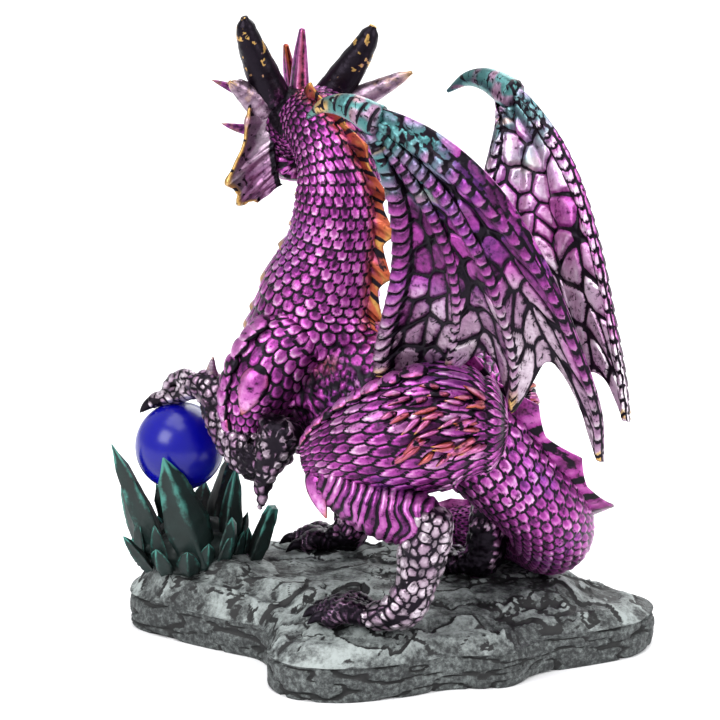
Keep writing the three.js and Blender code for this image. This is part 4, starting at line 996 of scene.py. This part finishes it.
NOSTRIL = np.array([(26, 2.2, 0.2, 0.9, 0.7), (28, 2.6, 0.2, 1.4, 1.1), (29.8, 2.4, -0.4, 0.8, 0.6)])
LOWER_TOOTH = np.array([(12, 3.6, -6.6), (12, 3.7, -5.4), (12, 3.7, -4.6)])
nostrils = [head_limb(NOSTRIL * (1, k, 1, 1, 1), 20, 20, 0.8, 0.2, 73) for k in (1, -1)]
lower_teeth = [claw_horn(tapered(LOWER_TOOTH * (1, side, 1) + (2.2 * k, 0, 0), 0.65), 8, 8, on_neck, rings=1,
                         base=0) for k in range(6) for side in (1, -1)]
head = [head_limb(SKULL, 120, 140, 1.6, 0.4, 70, columns=26), head_limb(JAW, 70, 70, 1.4, 0.35, 72)]
head += [*head_side(1), *head_side(-1), eye(1), eye(-1), *nostrils, *map(brow_spine, range(3)), *lower_teeth]
piece("dragon_head", head, pearl_lacquer, "dragon")

# The wings are two more castings, glued on behind the shoulders. Segmented ribs fan out from the
# wrist, and the skin between them is a net of smooth swellings outlined in black.
WING_CURVES = [
    [(16, 25, 124), (10.2, 24, 116.8), (7.9, 21.2, 107.5), (8.1, 18.6, 98.5), (10.3, 15.8, 89),
     (14.2, 13, 79.4), (18, 10.2, 70.8), (19, 8.4, 64)],
    [(15.4, 25, 123.8), (6.5, 23.8, 115.2), (1, 22.2, 107.6), (-2, 20.4, 101), (-3.9, 18.2, 93.5),
     (-3.9, 15.8, 84.9), (-2.1, 13.4, 76.6), (2, 11, 67)],
    [(15.4, 25, 124), (4.8, 24.6, 117.2), (-4.6, 23.2, 108.9), (-9.6, 21.4, 101), (-13.3, 19.4, 93.3),
     (-15.6, 16.8, 83.6), (-17, 14.4, 74), (-15.3, 12, 61.6)],
    [(15.8, 25, 124.6), (3.6, 24.8, 120.2), (-9.4, 23, 112.4), (-19.4, 20.2, 102.6), (-26.8, 16.4, 90.8),
     (-31, 12.6, 77.4), (-33.2, 8.4, 64.4), (-32, 5, 52.7)],
]
LEFT_SCALLOPS = (0.02, 0.12, 0.2)
RIGHT_SCALLOPS = (0.02, 0.1, 0.05)
WING_SAG = 1.6
WING_THICKNESS = 1.7
WING_WRIST = 0.07
WING_FLANGE = 3.2
BONE_RADII = ((2.7, 3.6), (1.9, 1.2), (2, 1.2), (2.4, 1.5))
WING_CLAW = [(10.5, 25, 122.8), (17, 25.4, 125), (23, 25.6, 124.6), (28, 25, 121.4)]
SEGMENTS = (3.2, 2.4, 2.4, 3.6)
OUTER_CELL = (5.8, 8)
INNER_CELL = (7.4, 8.8)
RIGHT_ARM_FORWARD = 5
RIGHT_FINGER_FORWARD = 9
RIGHT_TIP_LIFT = 10
RIGHT_TIP_BACK = 3.4
RIGHT_WING_TURN = math.radians(-4.5)


def right_wing_place(p):
    """Turns the right wing a little about its shoulder and lowers it, then sets it on the rock"""
    c, s = math.cos(RIGHT_WING_TURN), math.sin(RIGHT_WING_TURN)
    x, y, z = p[..., 0] - 17, p[..., 1] + 8, p[..., 2]
    return on_rock(place_of(c * x - s * y + 17, s * x + c * y - 8, z - 2.2))


def wing_sheet(sign, rows=170, per_panel=34):
    """A skin that runs from finger to finger, sagging between them, on bones whose thickness falls
    off as a circle does. The outer face has overlapping segments up each bone and cells between
    the bones; the inner face has larger round cells all over, and segments along its borders."""
    scallops = LEFT_SCALLOPS if sign > 0 else RIGHT_SCALLOPS
    t = np.linspace(WING_WRIST, 1, rows)
    q = np.concatenate([np.linspace(-1, -1 / 8, 8), np.linspace(0, 3, 3 * per_panel + 1),
                        3 + np.linspace(1 / 10, 1, 10)])
    before, after = q < 0, q > 3
    panel = np.clip(np.floor(q), 0, 2).astype(int)
    share = np.clip(q - panel, 0, 1)
    curves = np.stack([along(c, t) for c in WING_CURVES])
    columns = []
    for k, f in zip(panel, share):
        reach = t * (1 - scallops[k] * max(math.sin(math.pi * f), 0) ** 1.3 * smooth(t, 0, 1))
        columns.append(blend(along(WING_CURVES[k], reach), along(WING_CURVES[k + 1], reach), f))
    p = np.stack(columns, 1)
    p[..., 1] -= WING_SAG * np.sin(math.pi * share) * np.sin(math.pi * np.minimum(t, 0.8))[:, None]
    radius = np.stack([blend(a, b, t) for a, b in BONE_RADII])[..., None]
    beyond = (sign > 0) * WING_FLANGE * smooth(t, 0, 0.24) * smooth(t, 0.62, 0.3)
    past_arm = unit(curves[0] - curves[1])[:, None] * (radius[0] * -q[before])[..., None]
    past_last = ((radius[3] + beyond[:, None]) * (q[after] - 3))[..., None]
    p[:, before] = curves[0][:, None] + past_arm
    p[:, after] = curves[3][:, None] + unit(curves[3] - curves[2])[:, None] * past_last
    far = np.stack([np.linalg.norm(p - c[:, None], axis=-1) for c in curves])
    far[0][:, before] = radius[0] * -q[before] * 0.995
    width = np.linalg.norm(np.diff(curves, axis=0), axis=-1)
    spread = np.minimum(width[[0, 0, 1, 2]], width[[0, 1, 2, 2]])[..., None]
    room = np.minimum(radius, np.maximum(0.42 * spread, 0.6))
    bones = np.sqrt(np.clip(1 - (far / room) ** 2, 0, 1)) * radius
    which = np.argmax(bones, axis=0)
    bone = bones.max(0)
    length = np.cumsum(np.linalg.norm(np.diff(curves, axis=1, prepend=curves[:, :1]), axis=2), axis=1)
    run = np.take_along_axis(length[:, :, None] * np.ones(len(q)), which[None], 0)[0]
    aside = np.clip(np.take_along_axis(far / room, which[None], 0)[0], 0, 1)
    climb = (run / np.array(SEGMENTS)[which] + 0.5 * aside ** 2) % 1
    notch = np.maximum(smooth(climb, 0.34, 0.12), smooth(climb, 0.94, 1))
    normal = grid_normals(p, closed=False)
    normal = normal * np.sign(normal[..., 1].mean())
    down = length.mean(0)[:, None]
    late = t[:, None]
    wrist = smooth(late + 0.35 * (noise(p / 5, 105) - 0.5), 0.34, 0.1)
    low = smooth(late + 0.25 * (noise(p / 6, 106) - 0.5), 0.55, 0.85)
    rim = np.minimum(np.arange(len(q)), np.arange(len(q))[::-1])
    hem = np.sqrt(np.clip(rim / 5, 0.03, 1)) * smooth(1 - late, -0.02, 0.012)
    line = 0.55 * smooth(np.abs(noise(p / 1.5, 111) - 0.5), 0.07, 0.02) * np.maximum(wrist, low)
    faces = []
    for inner in (0, 1):
        size, seed = (INNER_CELL, 103) if inner else (OUTER_CELL, 101)
        ribs = bone * 0.8 * (which % 3 == 0) if inner else bone
        across = (q / 3 - 0.5) * width.sum(0)[:, None] if inner else (q - panel - 0.5) * width[panel].T
        lattice = place_of(across / size[0] + 9.5 * panel * (1 - inner), down / size[1])
        lattice[:, before | after] *= 2
        near, second, pick = cells(lattice, seed)
        on_bone = smooth(ribs, 0.4, 0.8) * smooth(aside, 0.76, 0.6)
        rounded = 0.9 * smooth(near, 0.54 + 0.16 * inner, 0.7 + 0.2 * inner)
        seam = np.maximum(1 - smooth(second - near, 0.03, 0.13 + 0.08 * low), rounded)
        swell = smooth(second - near, 0.03, 0.3)
        skin = WING_THICKNESS / 2 * (0.45 + 0.75 * swell) * (1 - 0.45 * smooth(late, 0.9, 1))
        half = np.maximum(skin, ribs * (0.8 + 0.22 * climb - 0.22 * notch))
        flank = smooth(aside, 0.6, 0.74) * smooth(aside, 0.98, 0.8) * (ribs > 0.3)
        tip = smooth(late, 0.93, 0.985) * on_bone * (noise(p / 3, 108) > 0.3)
        dry = blend(0.01 + 0.3 * swell + 0.35 * (pick - 0.5), 0.04 + 0.5 * climb, on_bone)
        silver = blend(low * (0.7 + 0.3 * pick), 0.75 * low + 0.3 * smooth(climb, 0.6, 0.95), on_bone)
        faces.append((np.maximum(half * hem, 0.2)[..., None], {
            "wash": np.maximum(blend(seam, 0.9 * notch, on_bone), 0.7 * flank) + line,
            "dry": dry + 0.24 * low + (0.42 if inner else 0.1 * wrist),
            "silver": silver + 0.3 * wrist * (1 - inner),
            "gold": 0.85 * tip + 0.5 * wrist * (noise(p / 3, 109) > 0.72),
            "teal": 0.9 * wrist * (1 - tip) * smooth(noise(p / 3, 112), 0.02, 0.4),
        }))
    p, normal, place = p * (1, sign, 1), normal * (1, sign, 1), on_rock
    if sign < 0:
        share = np.clip((4 * q + 1) / 14, 0, 1)
        fall = (late - WING_WRIST) / (1 - WING_WRIST)
        forward = blend(RIGHT_ARM_FORWARD, RIGHT_FINGER_FORWARD, share) * np.sin(math.pi * fall)
        p[..., 2] += RIGHT_TIP_LIFT * share * fall ** 2
        p[..., 0] += forward - RIGHT_TIP_BACK * share * fall ** 2
        place = right_wing_place
    (out, outer_values), (back, inner_values) = faces
    return plate(place(p + normal * out), place(p - normal * back), outer_values, inner_values), place


def wing_parts(sign):
    """A wing's skin and the hooked claw at its wrist, teal and gold with a row of black ticks"""
    skin, place = wing_sheet(sign)
    p, normal, t, angle, s, girth = sweep(tapered(np.array(WING_CLAW) * (1, sign, 1), 3.5), 90, 40)
    side = np.sin(angle) * sign
    tick = smooth(np.abs(s / 3.2 % 1 - 0.5), 0.15, 0.06) * smooth(side + 0.4 * np.cos(angle), 0.5, 0.8)
    mottle = noise(p / 2.4, 107)
    line = smooth(np.abs(noise(p / 1.6, 110) - 0.5), 0.06, 0.02)
    claw = raised(p, normal, -0.12 * girth * tick, place,
                  wash=np.maximum(tick, 0.7 * line), dry=0.5, silver=0.8,
                  gold=0.8 * smooth(mottle + 0.3 * side, 0.55, 0.8) * smooth(t, 0.1, 0.6),
                  teal=0.9 * smooth(mottle, 0.75, 0.55))
    return [skin, claw]


piece("wing_near", wing_parts(1), pearl_lacquer, "wing_left")
piece("wing_far", wing_parts(-1), pearl_lacquer, "wing_right")

# The figure stands on a plain white table top under soft studio light, seen from behind its left.
SCENE_CENTRE = Vector((0.006, 0.0015, 0.066))
CAMERA_DISTANCE = 0.8
CAMERA_TILT = math.radians(15)
bpy.ops.mesh.primitive_plane_add(size=8)
table = bpy.context.object
table.name = "table_top"
table_white, tree = new_material("matt_white_laminate")
place = add(tree, "TexCoord").outputs["Object"]
grain = add(tree, "TexNoise", {"Vector": place, "Scale": 400, "Detail": 3})
grain = add(tree, "Bump", {"Height": grain, "Strength": 0.02, "Distance": 0.0005})
paint = add(tree, "BsdfPrincipled", {"Base Color": "#f4f4f5", "Roughness": 0.6, "Normal": grain})
add(tree, "OutputMaterial", {"Surface": paint})
table.data.materials.append(table_white)

scene = bpy.context.scene
camera = bpy.data.objects.new("camera", bpy.data.cameras.new("camera"))
scene.collection.objects.link(camera)
camera.data.lens = 184
camera.data.sensor_width = 36
camera.data.clip_start = 0.01
sight = Vector((0, math.cos(CAMERA_TILT), math.sin(CAMERA_TILT))) * CAMERA_DISTANCE
camera.location = SCENE_CENTRE + sight
camera.rotation_euler = sight.to_track_quat("Z", "Y").to_euler()
scene.camera = camera

for name, where, size, power in (
    ("soft_box_left", (0.75, 0.7, 0.75), 0.6, 11), ("soft_box_right", (-0.8, 0.5, 0.55), 0.6, 6),
    ("soft_box_top", (0.05, 0.05, 1.1), 0.9, 10), ("soft_box_back", (-0.3, -0.8, 0.6), 0.6, 5),
):
    lamp = bpy.data.objects.new(name, bpy.data.lights.new(name, "AREA"))
    scene.collection.objects.link(lamp)
    lamp.data.size = size
    lamp.data.energy = power
    lamp.location = where
    lamp.rotation_euler = (Vector(where) - SCENE_CENTRE).to_track_quat("Z", "Y").to_euler()
scene.world = bpy.data.worlds.new("studio")
scene.world.use_nodes = True
sky = scene.world.node_tree.nodes["Background"]
sky.inputs["Color"].default_value = hex_colour("#f7f8fa")
sky.inputs["Strength"].default_value = 0.75
scene.view_settings.view_transform = "Standard"
